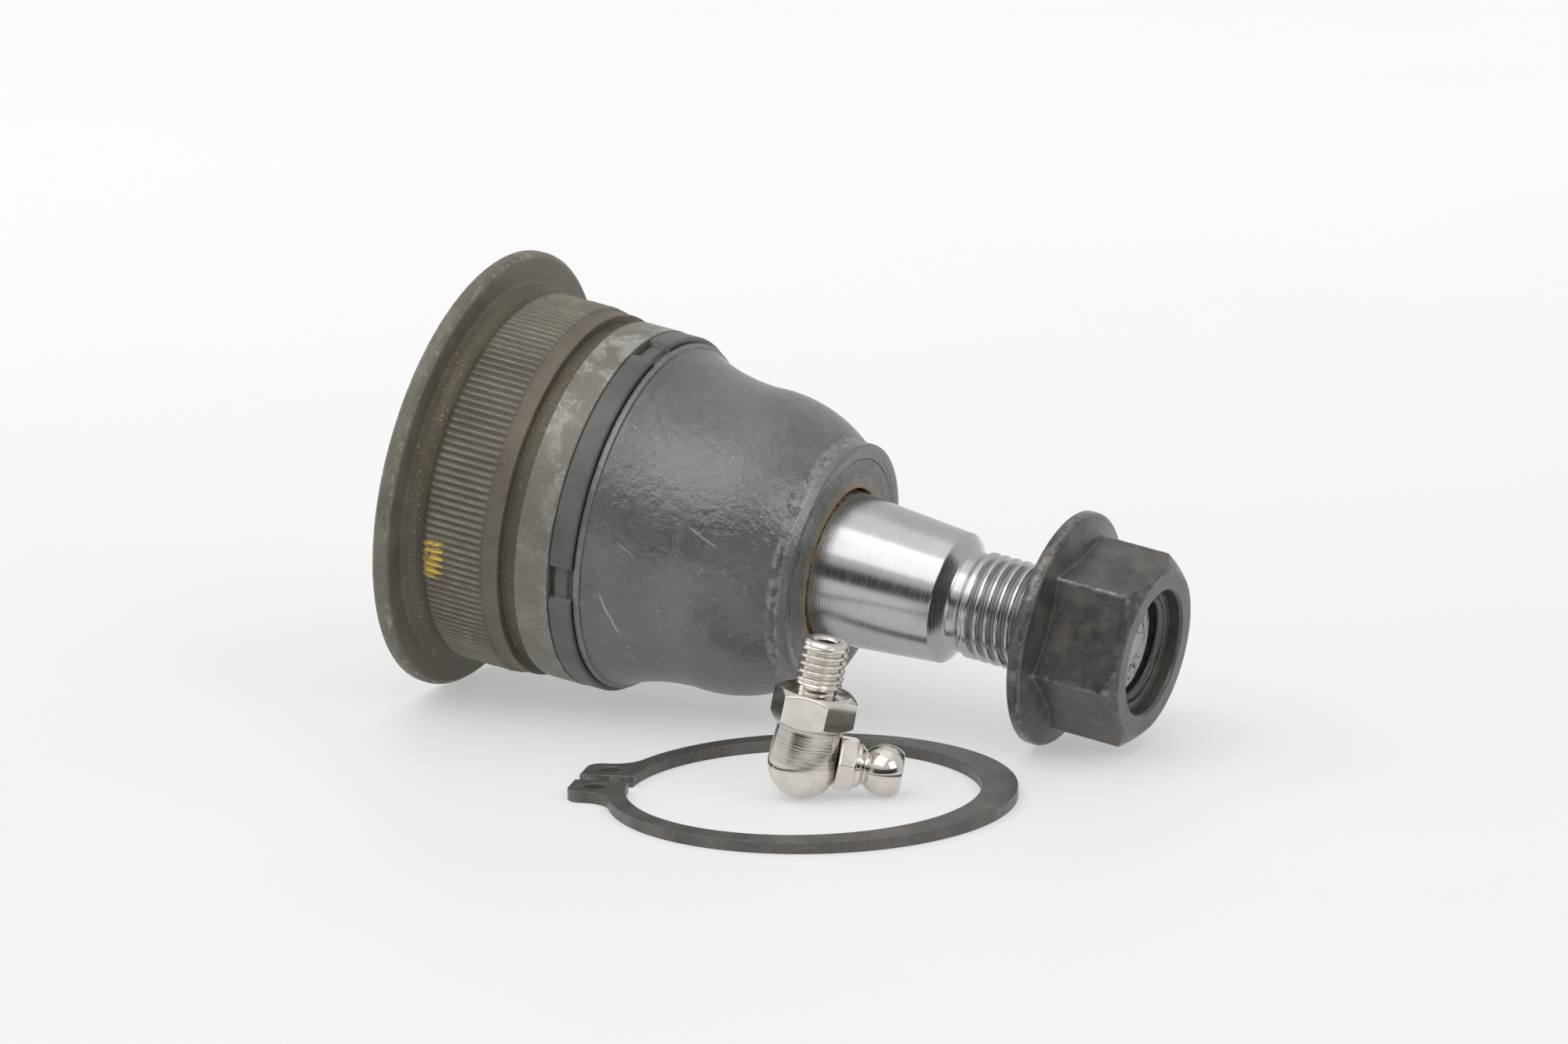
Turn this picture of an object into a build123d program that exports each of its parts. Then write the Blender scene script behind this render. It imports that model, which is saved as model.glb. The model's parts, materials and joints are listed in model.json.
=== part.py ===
from build123d import *
from math import atan, cos, pi, radians, sin, sqrt
import os

# Suspension ball joint of the press-in kind, laid on its side, with the two loose pieces that
# are fitted to it last: the snap ring, flat on the table, and the elbow grease fitting, which
# stands inside it. Millimetres, +Z up, z = 0 is the table.
#
# The joint lies on two rims, the housing's flange and the nut's, so its axis slopes down towards
# the nut. Stations are distances along that axis, from the back face of the housing's flange.

# ---------------------------------------------------------------- driving dimensions
# Clearances
fit_gap = 0.05             # still fits: cap in housing, nipple in fitting
run_gap = 0.05             # running fits: ball in seats, seats in bore, nut on stud
soft_gap = 0.3             # rubber beside a piece that moves against it
seat_gap = 0.02            # between stacked inner pieces
throat_gap = 0.72          # ball inside the housing's throat
groove_play = 0.7          # snap ring along its groove
snap_preload = 0.5         # how far the loose snap ring is smaller than its groove
spring_gap = 0.6           # round the cone spring
lip_ring_gap = 0.3
cut_margin = 1.0           # how far a cutting shape runs past what it cuts
check_play = 0.25          # check ball in the nipple's bore

# Housing, turned from a forging
knurl_radius = 24.5        # over the crests
knurl_depth = 0.42
knurl_teeth = 156
knurl_length = 8.6
root_step = 0.06           # from the roots down to the plain land
flange_width = 4.5         # beyond the knurl
flange_thickness = 2.2
flange_back_chamfer = 0.4
flange_front_bevel = 0.65
undercut_width = 2.7       # from the flange to the knurl
undercut_depth = 0.12      # below the land
fillet_radius = 1.5        # root of the flange
land_length = 2.2          # plain land between knurl and ring groove
groove_depth = 0.95        # below the pilot
pilot_step = 0.8           # from the knurl's crests down to the pilot
pilot_length = 4.8
nose_length = 3.0
edge_chamfer = 0.35
bore_radius = 19.0
throat_length = 4.3        # from the bore's shoulder to the nose's end
mouth_flare = 2.6

# Rear cap, held by a lip that is spun over it
cap_seat_width = 1.9
cap_thickness = 2.6
lip_thickness = 0.8
lip_width = 1.2
port_boss_radius = 5.2
port_boss_height = 0.45

# Ball stud
ball_radius = 13.5
ball_depth = 9.9           # from the nose's end back to the ball's centre
ball_flat = 8.0            # from the ball's centre back to the flat on its end
neck_radius = 8.5
neck_length = 20.2         # from the ball's centre to the end of the neck
taper_runout = 7.0         # from the neck to the ground taper
taper_length = 26.2
taper_radius = 8.55        # at its small end
taper_slope = 0.0844       # on radius, a 1 in 6 taper on diameter
shoulder_round = 1.5
relief_depth = 0.72
relief_width = 3.4         # from the taper to the thread
relief_length = 1.5        # its plain floor
thread_radius = 6.97       # M14 x 1.5
thread_length = 21.0
stud_chamfer = 0.9

# Flange nut, M14, in one piece
nut_grip = 10.1            # thread inside the nut
nut_flange_radius = 15.25
nut_flange_rim = 2.1
nut_rim_round = 0.75
nut_cone_slope = 0.34
nut_height = 13.7
nut_across_flats = 22.0
nut_corner_turn = 13.0     # degrees that the hexagon is turned about the stud
nut_corner_bite = 0.3      # how far the corner cone cuts into the free face
nut_chamfer_slope = 0.78
nut_recess_width = 1.13    # round the stud's end
nut_recess_depth = 1.9
nut_back_recess_width = 0.93
nut_back_recess_depth = 0.7

# Seats and preload
seat_split_gap = 0.5       # between the two seats, on the ball's centre
lower_seat_depth = 9.3     # from the ball's centre back to the lower seat's end
plate_thickness = 1.6
plate_hole_radius = 10.2
spring_thickness = 0.8
spring_inner_radius = 12.0

# Boot, its collar and its lip ring
collar_step = 0.1          # from the pilot down to the collar
collar_wall = 1.1
collar_length = 3.1
collar_pinches = 4
collar_pinch_turn = 11.0  # degrees
collar_pinch_width = 4.6
collar_pinch_length = 1.9     # of the band that is left there
collar_pinch_depth = 0.6
boot_root = 1.9            # room between the collar and the housing's nose
boot_wall = 2.2
boot_waist_radius = 20.0
boot_waist_reach = 12.3    # from the nose's end to the boot's waist
boot_brow_radius = 19.0    # on the crown between waist and bead
boot_brow_reach = 7.5      # from the waist to the brow
boot_mouth_step = 1.2      # from the collar down to the boot beside it
boot_ridge_step = 0.7      # from the collar down to the ridge
boot_ridge_length = 0.8
boot_length = 27.4         # from the nose's end
boot_bead_radius = 16.2
boot_bead_width = 1.9
bead_wall = 2.0            # round the lip ring's pocket
bead_round = 0.5
ring_pocket_depth = 2.0
lip_ring_thickness = 1.1

# Snap ring, shaft size 48
snap_band = 3.45           # from its bore to its outer edge, before the offset
snap_offset = 1.1          # centre of the outer edge, away from the ears
snap_thickness = 1.5
snap_gap = 2.4
ear_length = 6.85          # from the bore out to the ears' ends
ear_width = 5.6
ear_round = 1.9
ear_root_round = 4.0       # where the ears run into the outer edge
ear_hole_radius = 1.25
ear_hole_inset = 3.25      # from the ears' ends
snap_centre = (63.9, -36.0)
snap_turn = 193.3          # degrees, the direction in which the ears point

# Elbow grease fitting
elbow_lean = 11.7          # degrees from upright, until the nipple's head touches the table
elbow_turn = 26.4          # degrees, the direction in which the nipple points
elbow_radius = 4.45
elbow_height = 9.6         # from the ball-shaped bottom up to the hexagon
elbow_waist = 0.25         # the body's taper up to the hexagon
elbow_hex = 9.5
elbow_hex_turn = 44.5
elbow_hex_height = 4.4
elbow_hex_bite = 0.25      # how far the corner cones cut into the hexagon's end faces
elbow_hex_slope = 0.6
elbow_thread_radius = 3.0  # M6
elbow_thread_depth = 0.5   # down to the tapping size
elbow_thread_length = 6.6
elbow_thread_chamfer = 0.45
elbow_neck_depth = 0.45
elbow_neck_length = 0.7
elbow_bore_radius = 1.3
nipple_reach = 10.2        # from the elbow's axis to the centre of the head
nipple_head_radius = 3.3
nipple_head_tip = 2.1      # from the head's centre to its flat tip
nipple_neck_radius = 2.2
nipple_neck_at = 2.45      # from the head's centre back to the neck
nipple_flange_radius = 2.75
nipple_flange_length = 0.55
nipple_collar_hex = 6.5
nipple_hex_turn = 20.0
nipple_collar_length = 2.3
nipple_wall = 0.75         # of the shank round its bore
nipple_socket = 2.3        # from the elbow's axis to the bottom of the nipple's hole
collar_root = 4.1          # from the elbow's axis to the flat under the collar
flat_margin = 0.3
nipple_hole_radius = 0.8
nipple_lip = 0.6
check_ball_radius = 1.1
check_wire_radius = 0.14
check_turns = 4

# ---------------------------------------------------------------- worked out
# Radii of the housing and of what fits round it
land_radius = knurl_radius - knurl_depth - root_step
undercut_radius = land_radius - undercut_depth
flange_radius = knurl_radius + flange_width
pilot_radius = knurl_radius - pilot_step
groove_radius = pilot_radius - groove_depth
collar_radius = pilot_radius - collar_step
nose_radius = collar_radius - collar_wall - boot_root
boot_mouth_radius = collar_radius - boot_mouth_step
boot_ridge_radius = collar_radius - boot_ridge_step
ring_pocket_radius = boot_bead_radius - bead_wall
snap_inner_radius = groove_radius - snap_preload
snap_outer_radius = snap_inner_radius + snap_band
ear_reach = snap_inner_radius + ear_length

# Radii of what fits in the housing's bore, round the stud's thread and in the fitting
cap_radius = bore_radius + cap_seat_width
lip_radius = cap_radius - lip_width
spring_outer_radius = bore_radius - spring_gap
relief_radius = thread_radius - relief_depth
nut_recess_radius = thread_radius + nut_recess_width
nut_back_recess_radius = thread_radius + nut_back_recess_width
nut_face_radius = nut_across_flats / 2 - nut_corner_bite
port_radius = elbow_thread_radius - elbow_thread_depth
elbow_neck_radius = elbow_thread_radius - elbow_neck_depth
nipple_bore_radius = check_ball_radius + check_play
nipple_shank_radius = nipple_bore_radius + nipple_wall
check_coil_radius = check_ball_radius - check_play

# Stations along the housing
undercut_end = flange_thickness + undercut_width
knurl_end = undercut_end + knurl_length
groove_start = knurl_end + land_length
groove_end = groove_start + snap_thickness + groove_play
pilot_end = groove_end + pilot_length
nose_end = pilot_end + nose_length
shoulder_station = nose_end - throat_length
cap_start = lip_thickness
cap_end = cap_start + cap_thickness

# Stations along the stud, the nut and the boot
ball_station = nose_end - ball_depth
lower_seat_start = ball_station - lower_seat_depth
neck_end = ball_station + neck_length
taper_start = neck_end + taper_runout
taper_end = taper_start + taper_length
thread_start = taper_end + relief_width
stud_end = thread_start + thread_length
nut_station = stud_end - nut_grip
nut_end = nut_station + nut_height
boot_waist = (nose_end + boot_waist_reach, boot_waist_radius)
boot_brow = (boot_waist[0] + boot_brow_reach, boot_brow_radius)
boot_end = nose_end + boot_length

# Slope of the axis, from the two rims that touch the table
rim_station = flange_thickness - flange_front_bevel
nut_rim_station = nut_station + nut_flange_rim - nut_rim_round
slope = atan((flange_radius - nut_flange_radius) / (nut_rim_station - rim_station))
back_height = rim_station * sin(slope) + flange_radius * cos(slope)

# The model's frame: its origin is on the table under the middle of the whole, so the flange's
# back face stands at back_x on the X axis and the snap ring's free side sets the middle in Y
x_low = -(flange_radius - flange_back_chamfer) * sin(slope)
x_high = nut_end * cos(slope) + nut_face_radius * sin(slope)
ring_low = snap_centre[1] - snap_offset * sin(radians(snap_turn)) - snap_outer_radius
back_x = -(x_low + x_high) / 2
back_y = -(ring_low + flange_radius) / 2

along = Vector(cos(slope), 0, -sin(slope))
across = Vector(0, 1, 0)
back_centre = Vector(back_x, back_y, back_height)
joint_axis = Axis(back_centre, along)
# Profiles of turned pieces: X is the station and Y the radius
profile_plane = Plane(back_centre, x_dir=along, z_dir=-across)


def station(distance):
    """Plane square to the joint's axis, with X across and Y upwards."""
    return Plane(back_centre + along * distance, x_dir=across, z_dir=along)


def taper_at(distance):
    return taper_radius + (taper_end - distance) * taper_slope


def ball_at(distance, radius):
    """Radius of a ball of the stud's centre, cut at a station."""
    return sqrt(radius**2 - (distance - ball_station) ** 2)


throat_radius = ball_at(shoulder_station, ball_radius) + throat_gap
mouth_radius = throat_radius + mouth_flare
os.makedirs("parts", exist_ok=True)

# ---------------------------------------------------------------- housing
with BuildPart() as housing:
    with BuildSketch(profile_plane) as housing_profile:
        with BuildLine():
            Polyline(
                (0, lip_radius),
                (0, flange_radius - flange_back_chamfer),
                (flange_back_chamfer, flange_radius),
                (rim_station, flange_radius),
                (flange_thickness, flange_radius - flange_front_bevel),
                (flange_thickness, undercut_radius + fillet_radius),
            )
            RadiusArc(
                (flange_thickness, undercut_radius + fillet_radius),
                (flange_thickness + fillet_radius, undercut_radius),
                -fillet_radius,
            )
            Polyline(
                (flange_thickness + fillet_radius, undercut_radius),
                (undercut_end - edge_chamfer, undercut_radius),
                (undercut_end, land_radius),
                (groove_start - edge_chamfer, land_radius),
                (groove_start, land_radius - edge_chamfer),
                (groove_start, groove_radius),
                (groove_end, groove_radius),
                (groove_end, pilot_radius - edge_chamfer),
                (groove_end + edge_chamfer, pilot_radius),
                (pilot_end - edge_chamfer, pilot_radius),
                (pilot_end, pilot_radius - edge_chamfer),
                (pilot_end, nose_radius),
                (nose_end - edge_chamfer, nose_radius),
                (nose_end, nose_radius - edge_chamfer),
                (nose_end, mouth_radius),
                (shoulder_station + edge_chamfer, throat_radius),
                (shoulder_station, throat_radius),
                (shoulder_station, bore_radius),
                (cap_end, bore_radius),
                (cap_end, cap_radius + fit_gap),
                (cap_start, cap_radius + fit_gap),
                (cap_start, lip_radius + lip_thickness),
                (0, lip_radius),
            )
        make_face()
    revolve(axis=joint_axis)
    # Straight knurl that grips the arm's bore: a ring of V teeth
    with BuildSketch(station(undercut_end)):
        with BuildLine():
            Polyline(
                *[
                    Vector(knurl_radius - knurl_depth * (half % 2), 0).rotate(
                        Axis.Z, 180 * half / knurl_teeth
                    )
                    for half in range(2 * knurl_teeth)
                ],
                close=True,
            )
        make_face()
        Circle(groove_radius, mode=Mode.SUBTRACT)
    extrude(amount=knurl_length)
housing.part.label = "housing"
export_step(housing.part, "parts/housing.step")

# ---------------------------------------------------------------- rear cap with the grease port
with BuildPart() as end_cap:
    with BuildSketch(station(cap_start)):
        Circle(cap_radius)
    extrude(amount=cap_thickness)
    with BuildSketch(station(cap_start)):
        Circle(port_boss_radius)
    extrude(amount=-port_boss_height)
    chamfer(
        end_cap.edges().filter_by(GeomType.CIRCLE).group_by(SortBy.RADIUS)[-1],
        length=edge_chamfer,
    )
    with BuildSketch(station(cap_start - port_boss_height)):
        Circle(port_radius)
    extrude(amount=cap_thickness + port_boss_height, mode=Mode.SUBTRACT)
    port_mouth = end_cap.edges().filter_by(GeomType.CIRCLE).group_by(SortBy.RADIUS)[0]
    chamfer(port_mouth.sort_by(joint_axis)[0], length=edge_chamfer)
end_cap.part.label = "end_cap"
export_step(end_cap.part, "parts/end_cap.step")

# ---------------------------------------------------------------- preload: cone spring and plate
plate_end = lower_seat_start - seat_gap
plate_start = plate_end - plate_thickness
spring_start = cap_end + seat_gap
with BuildPart() as preload_spring:
    with BuildSketch(profile_plane):
        with BuildLine():
            Polyline(
                (spring_start, spring_outer_radius),
                (spring_start + spring_thickness, spring_outer_radius),
                (plate_start - seat_gap, spring_inner_radius),
                (plate_start - seat_gap - spring_thickness, spring_inner_radius),
                close=True,
            )
        make_face()
    revolve(axis=joint_axis)
preload_spring.part.label = "preload_spring"
export_step(preload_spring.part, "parts/preload_spring.step")

with BuildPart() as pressure_plate:
    with BuildSketch(station(plate_start)):
        Circle(bore_radius - run_gap)
        Circle(plate_hole_radius, mode=Mode.SUBTRACT)
    extrude(amount=plate_thickness)
    chamfer(pressure_plate.edges().filter_by(GeomType.CIRCLE), length=edge_chamfer)
pressure_plate.part.label = "pressure_plate"
export_step(pressure_plate.part, "parts/pressure_plate.step")

# ---------------------------------------------------------------- the two seats round the ball
seat_sphere = ball_radius + run_gap
with BuildPart() as lower_bearing:
    with BuildSketch(profile_plane):
        seat_end = ball_station - seat_split_gap / 2
        with BuildLine():
            Polyline(
                (lower_seat_start, ball_at(lower_seat_start, seat_sphere)),
                (lower_seat_start, bore_radius - run_gap),
                (seat_end, bore_radius - run_gap),
                (seat_end, ball_at(seat_end, seat_sphere)),
            )
            ThreePointArc(
                (seat_end, ball_at(seat_end, seat_sphere)),
                (
                    (seat_end + lower_seat_start) / 2,
                    ball_at((seat_end + lower_seat_start) / 2, seat_sphere),
                ),
                (lower_seat_start, ball_at(lower_seat_start, seat_sphere)),
            )
        make_face()
    revolve(axis=joint_axis)
lower_bearing.part.label = "lower_bearing"
export_step(lower_bearing.part, "parts/lower_bearing.step")

with BuildPart() as upper_bearing:
    with BuildSketch(profile_plane):
        seat_start = ball_station + seat_split_gap / 2
        upper_end = shoulder_station - seat_gap
        with BuildLine():
            Polyline(
                (seat_start, ball_at(seat_start, seat_sphere)),
                (seat_start, bore_radius - run_gap),
                (upper_end, bore_radius - run_gap),
                (upper_end, ball_at(upper_end, seat_sphere)),
            )
            ThreePointArc(
                (upper_end, ball_at(upper_end, seat_sphere)),
                (
                    (seat_start + upper_end) / 2,
                    ball_at((seat_start + upper_end) / 2, seat_sphere),
                ),
                (seat_start, ball_at(seat_start, seat_sphere)),
            )
        make_face()
    revolve(axis=joint_axis)
upper_bearing.part.label = "upper_bearing"
export_step(upper_bearing.part, "parts/upper_bearing.step")

# ---------------------------------------------------------------- ball stud
with BuildPart() as ball_stud:
    flat_station = ball_station - ball_flat
    neck_start = ball_station + sqrt(ball_radius**2 - neck_radius**2)
    with BuildSketch(profile_plane):
        with BuildLine():
            Line((flat_station, 0), (flat_station, ball_at(flat_station, ball_radius)))
            ThreePointArc(
                (flat_station, ball_at(flat_station, ball_radius)),
                (ball_station, ball_radius),
                (neck_start, neck_radius),
            )
            Line((neck_start, neck_radius), (neck_end, neck_radius))
            Line((neck_end, neck_radius), (taper_start, taper_at(taper_start)))
            Line((taper_start, taper_at(taper_start)), (taper_end, taper_radius))
            RadiusArc(
                (taper_end, taper_radius),
                (taper_end + shoulder_round, taper_radius - shoulder_round),
                shoulder_round,
            )
            Polyline(
                (taper_end + shoulder_round, taper_radius - shoulder_round),
                (thread_start - relief_length, relief_radius),
                (thread_start, relief_radius),
                (thread_start + thread_radius - relief_radius, thread_radius),
                (stud_end - stud_chamfer, thread_radius),
                (stud_end, thread_radius - stud_chamfer),
                (stud_end, 0),
                (flat_station, 0),
            )
        make_face()
    revolve(axis=joint_axis)
ball_stud.part.label = "ball_stud"
export_step(ball_stud.part, "parts/ball_stud.step")

# ---------------------------------------------------------------- flange nut
with BuildPart() as flange_nut:
    rim_end = nut_station + nut_flange_rim
    cone_top = rim_end + (nut_flange_radius - nut_rim_round - nut_face_radius) * nut_cone_slope
    # Flange and its cone
    with BuildSketch(profile_plane):
        with BuildLine():
            Line((nut_station, 0), (nut_station, nut_flange_radius - nut_rim_round / 2))
            Line(
                (nut_station, nut_flange_radius - nut_rim_round / 2),
                (nut_station + nut_rim_round / 2, nut_flange_radius),
            )
            Line((nut_station + nut_rim_round / 2, nut_flange_radius), (nut_rim_station, nut_flange_radius))
            RadiusArc(
                (nut_rim_station, nut_flange_radius),
                (rim_end, nut_flange_radius - nut_rim_round),
                nut_rim_round,
            )
            Polyline(
                (rim_end, nut_flange_radius - nut_rim_round),
                (cone_top, nut_face_radius),
                (cone_top, 0),
                (nut_station, 0),
            )
        make_face()
    revolve(axis=joint_axis)
    # Hexagon, its corners turned off by a cone at the free end
    with BuildSketch(station(nut_station)):
        RegularPolygon(nut_across_flats / 2, 6, major_radius=False, rotation=nut_corner_turn)
    extrude(amount=nut_height)
    with BuildSketch(profile_plane):
        corner = nut_across_flats / sqrt(3) + cut_margin
        chamfer_run = (corner - nut_face_radius) * nut_chamfer_slope
        with BuildLine():
            Polyline(
                (nut_end, nut_face_radius),
                (nut_end, corner),
                (nut_end - chamfer_run, corner),
                close=True,
            )
        make_face()
    revolve(axis=joint_axis, mode=Mode.SUBTRACT)
    # Bore, the recess round the stud's end and the relief in the bearing face
    bore = thread_radius + run_gap
    with BuildSketch(profile_plane):
        with BuildLine():
            Polyline(
                (nut_station, 0),
                (nut_station, nut_back_recess_radius),
                (nut_station + nut_back_recess_depth, bore),
                (nut_end - nut_recess_depth, bore),
                (nut_end - nut_recess_depth, nut_recess_radius - edge_chamfer),
                (nut_end - edge_chamfer, nut_recess_radius),
                (nut_end, nut_recess_radius + edge_chamfer),
                (nut_end, 0),
                close=True,
            )
        make_face()
    revolve(axis=joint_axis, mode=Mode.SUBTRACT)
flange_nut.part.label = "flange_nut"
export_step(flange_nut.part, "parts/flange_nut.step")

# ---------------------------------------------------------------- collar that holds the boot
collar_start = pilot_end + seat_gap
with BuildPart() as boot_collar:
    with BuildSketch(profile_plane):
        with Locations((collar_start, collar_radius - collar_wall)):
            Rectangle(collar_length, collar_wall, align=(Align.MIN, Align.MIN))
    revolve(axis=joint_axis)
    chamfer(
        boot_collar.edges().filter_by(GeomType.CIRCLE).group_by(SortBy.RADIUS)[-1],
        length=edge_chamfer,
    )
    # Four places where the band is pinched in on the boot: narrower there, and lower
    band_middle = collar_start + collar_length / 2
    pinch_floor = collar_radius - collar_pinch_depth
    pinch_side = (collar_length - collar_pinch_length) / 2
    for pinch in range(collar_pinches):
        turn = collar_pinch_turn + 360 / collar_pinches * pinch
        outer = Plane(
            back_centre + along * band_middle, x_dir=along, z_dir=along.cross(across)
        ).rotated((turn, 0, 0)).offset(pinch_floor)
        with BuildSketch(outer):
            Rectangle(collar_length + cut_margin, collar_pinch_width)
        extrude(amount=collar_pinch_depth + cut_margin, mode=Mode.SUBTRACT)
        with BuildSketch(outer):
            with Locations((-(collar_length - pinch_side) / 2, 0), ((collar_length - pinch_side) / 2, 0)):
                Rectangle(pinch_side, collar_pinch_width)
        extrude(amount=-collar_wall, mode=Mode.SUBTRACT)
boot_collar.part.label = "boot_collar"
export_step(boot_collar.part, "parts/boot_collar.step")

# ---------------------------------------------------------------- boot
with BuildPart() as boot:
    boot_start = collar_start + soft_gap
    bead_outer = collar_radius - collar_wall - soft_gap
    bead_inner = nose_radius + soft_gap
    ridge_start = collar_start + collar_length + soft_gap
    bead_start = boot_end - boot_bead_width
    pocket_floor = boot_end - ring_pocket_depth
    lip_bore = taper_at(pocket_floor - boot_wall) + soft_gap
    # Halfway down the slope from the collar to the waist, on a curve that is level at the waist
    slope_station = (ridge_start + boot_ridge_length + boot_waist[0]) / 2
    slope_radius = boot_waist[1] + (boot_mouth_radius - boot_waist[1]) / 4
    with BuildSketch(profile_plane):
        with BuildLine():
            Polyline(
                (boot_start, bead_inner),
                (boot_start, bead_outer),
                (ridge_start, bead_outer),
                (ridge_start, boot_ridge_radius),
                (ridge_start + boot_ridge_length, boot_ridge_radius),
                (ridge_start + boot_ridge_length, boot_mouth_radius),
            )
            ThreePointArc(
                (ridge_start + boot_ridge_length, boot_mouth_radius),
                (slope_station, slope_radius),
                boot_waist,
            )
            ThreePointArc(boot_waist, boot_brow, (bead_start, boot_bead_radius - bead_round))
            Polyline(
                (bead_start, boot_bead_radius - bead_round),
                (bead_start + bead_round, boot_bead_radius),
                (boot_end - bead_round, boot_bead_radius),
                (boot_end, boot_bead_radius - bead_round),
                (boot_end, ring_pocket_radius),
                (pocket_floor, ring_pocket_radius),
                (pocket_floor, lip_bore),
                (pocket_floor - boot_wall, lip_bore),
                (pocket_floor - boot_wall, boot_bead_radius - bead_round - boot_wall),
            )
            ThreePointArc(
                (pocket_floor - boot_wall, boot_bead_radius - bead_round - boot_wall),
                (boot_brow[0] - boot_wall / 2, boot_brow[1] - boot_wall),
                (boot_waist[0], boot_waist[1] - boot_wall),
            )
            ThreePointArc(
                (boot_waist[0], boot_waist[1] - boot_wall),
                (slope_station, slope_radius - boot_wall),
                (nose_end + soft_gap, bead_inner),
            )
            Line((nose_end + soft_gap, bead_inner), (boot_start, bead_inner))
        make_face()
    revolve(axis=joint_axis)
boot.part.label = "boot"
export_step(boot.part, "parts/boot.step")

# ---------------------------------------------------------------- ring in the boot's small end
with BuildPart() as lip_ring:
    ring_start = pocket_floor + lip_ring_gap
    with BuildSketch(station(ring_start)):
        Circle(ring_pocket_radius - lip_ring_gap)
        Circle(taper_at(ring_start) + lip_ring_gap, mode=Mode.SUBTRACT)
    extrude(amount=lip_ring_thickness)
lip_ring.part.label = "lip_ring"
export_step(lip_ring.part, "parts/lip_ring.step")

# ---------------------------------------------------------------- snap ring
ring_plane = Plane(
    (back_x + snap_centre[0], back_y + snap_centre[1], 0),
    x_dir=(cos(radians(snap_turn)), sin(radians(snap_turn)), 0),
)
with BuildPart() as snap_ring:
    with BuildSketch(ring_plane) as snap_outline:
        # The ring is deepest opposite its ears, because its two edges aren't concentric
        with Locations((-snap_offset, 0)):
            Circle(snap_outer_radius)
        ear_middle = snap_gap / 2 + ear_width / 2
        ear_inner = sqrt(snap_inner_radius**2 - snap_gap**2 / 4)
        hole_reach = ear_reach - ear_hole_inset
        with Locations((0, ear_middle), (0, -ear_middle)):
            with Locations((ear_inner, 0)):
                Rectangle(ear_reach - ear_inner, ear_width, align=(Align.MIN, Align.CENTER))
        Circle(snap_inner_radius, mode=Mode.SUBTRACT)
        with Locations((ear_reach, 0)):
            Rectangle(2 * ear_reach, snap_gap, mode=Mode.SUBTRACT)
        ear_corners = snap_outline.vertices().group_by(SortBy.DISTANCE)[-1]
        fillet(ear_corners, radius=ear_round)
        ear_roots = snap_outline.vertices().filter_by_position(Axis.X, snap_inner_radius, hole_reach)
        fillet(ear_roots, radius=ear_root_round)
        with Locations((hole_reach, ear_middle), (hole_reach, -ear_middle)):
            Circle(ear_hole_radius, mode=Mode.SUBTRACT)
    extrude(amount=snap_thickness)
snap_ring.part.label = "snap_ring"
export_step(snap_ring.part, "parts/snap_ring.step")

# ---------------------------------------------------------------- elbow grease fitting
heading = Vector(cos(radians(elbow_turn)), sin(radians(elbow_turn)), 0)
upright = Vector(0, 0, 1)
elbow_up = heading * sin(radians(elbow_lean)) + upright * cos(radians(elbow_lean))
nipple_out = heading * cos(radians(elbow_lean)) - upright * sin(radians(elbow_lean))
elbow_side = nipple_out.cross(elbow_up)
elbow_foot = Vector(back_x + snap_centre[0], back_y + snap_centre[1], elbow_radius)
# The nipple sits just high enough on the elbow for its head to touch the table
nipple_rise = (
    nipple_head_radius - elbow_radius + nipple_reach * sin(radians(elbow_lean))
) / cos(radians(elbow_lean))
nipple_root = elbow_foot + elbow_up * nipple_rise
elbow_axis = Axis(elbow_foot, elbow_up)
nipple_axis = Axis(nipple_root, nipple_out)
# Profiles of turned pieces: X is the distance along the piece's own axis and Y the radius
elbow_profile = Plane(elbow_foot, x_dir=elbow_up, z_dir=elbow_side)
nipple_profile = Plane(nipple_root, x_dir=nipple_out, z_dir=-elbow_side)


def elbow_level(height):
    """Plane square to the elbow's own axis, with X towards the nipple."""
    return Plane(elbow_foot + elbow_up * height, x_dir=nipple_out, z_dir=elbow_up)


def nipple_level(distance):
    """Plane square to the nipple's axis, with X up the elbow."""
    return Plane(nipple_root + nipple_out * distance, x_dir=elbow_up, z_dir=nipple_out)


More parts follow.
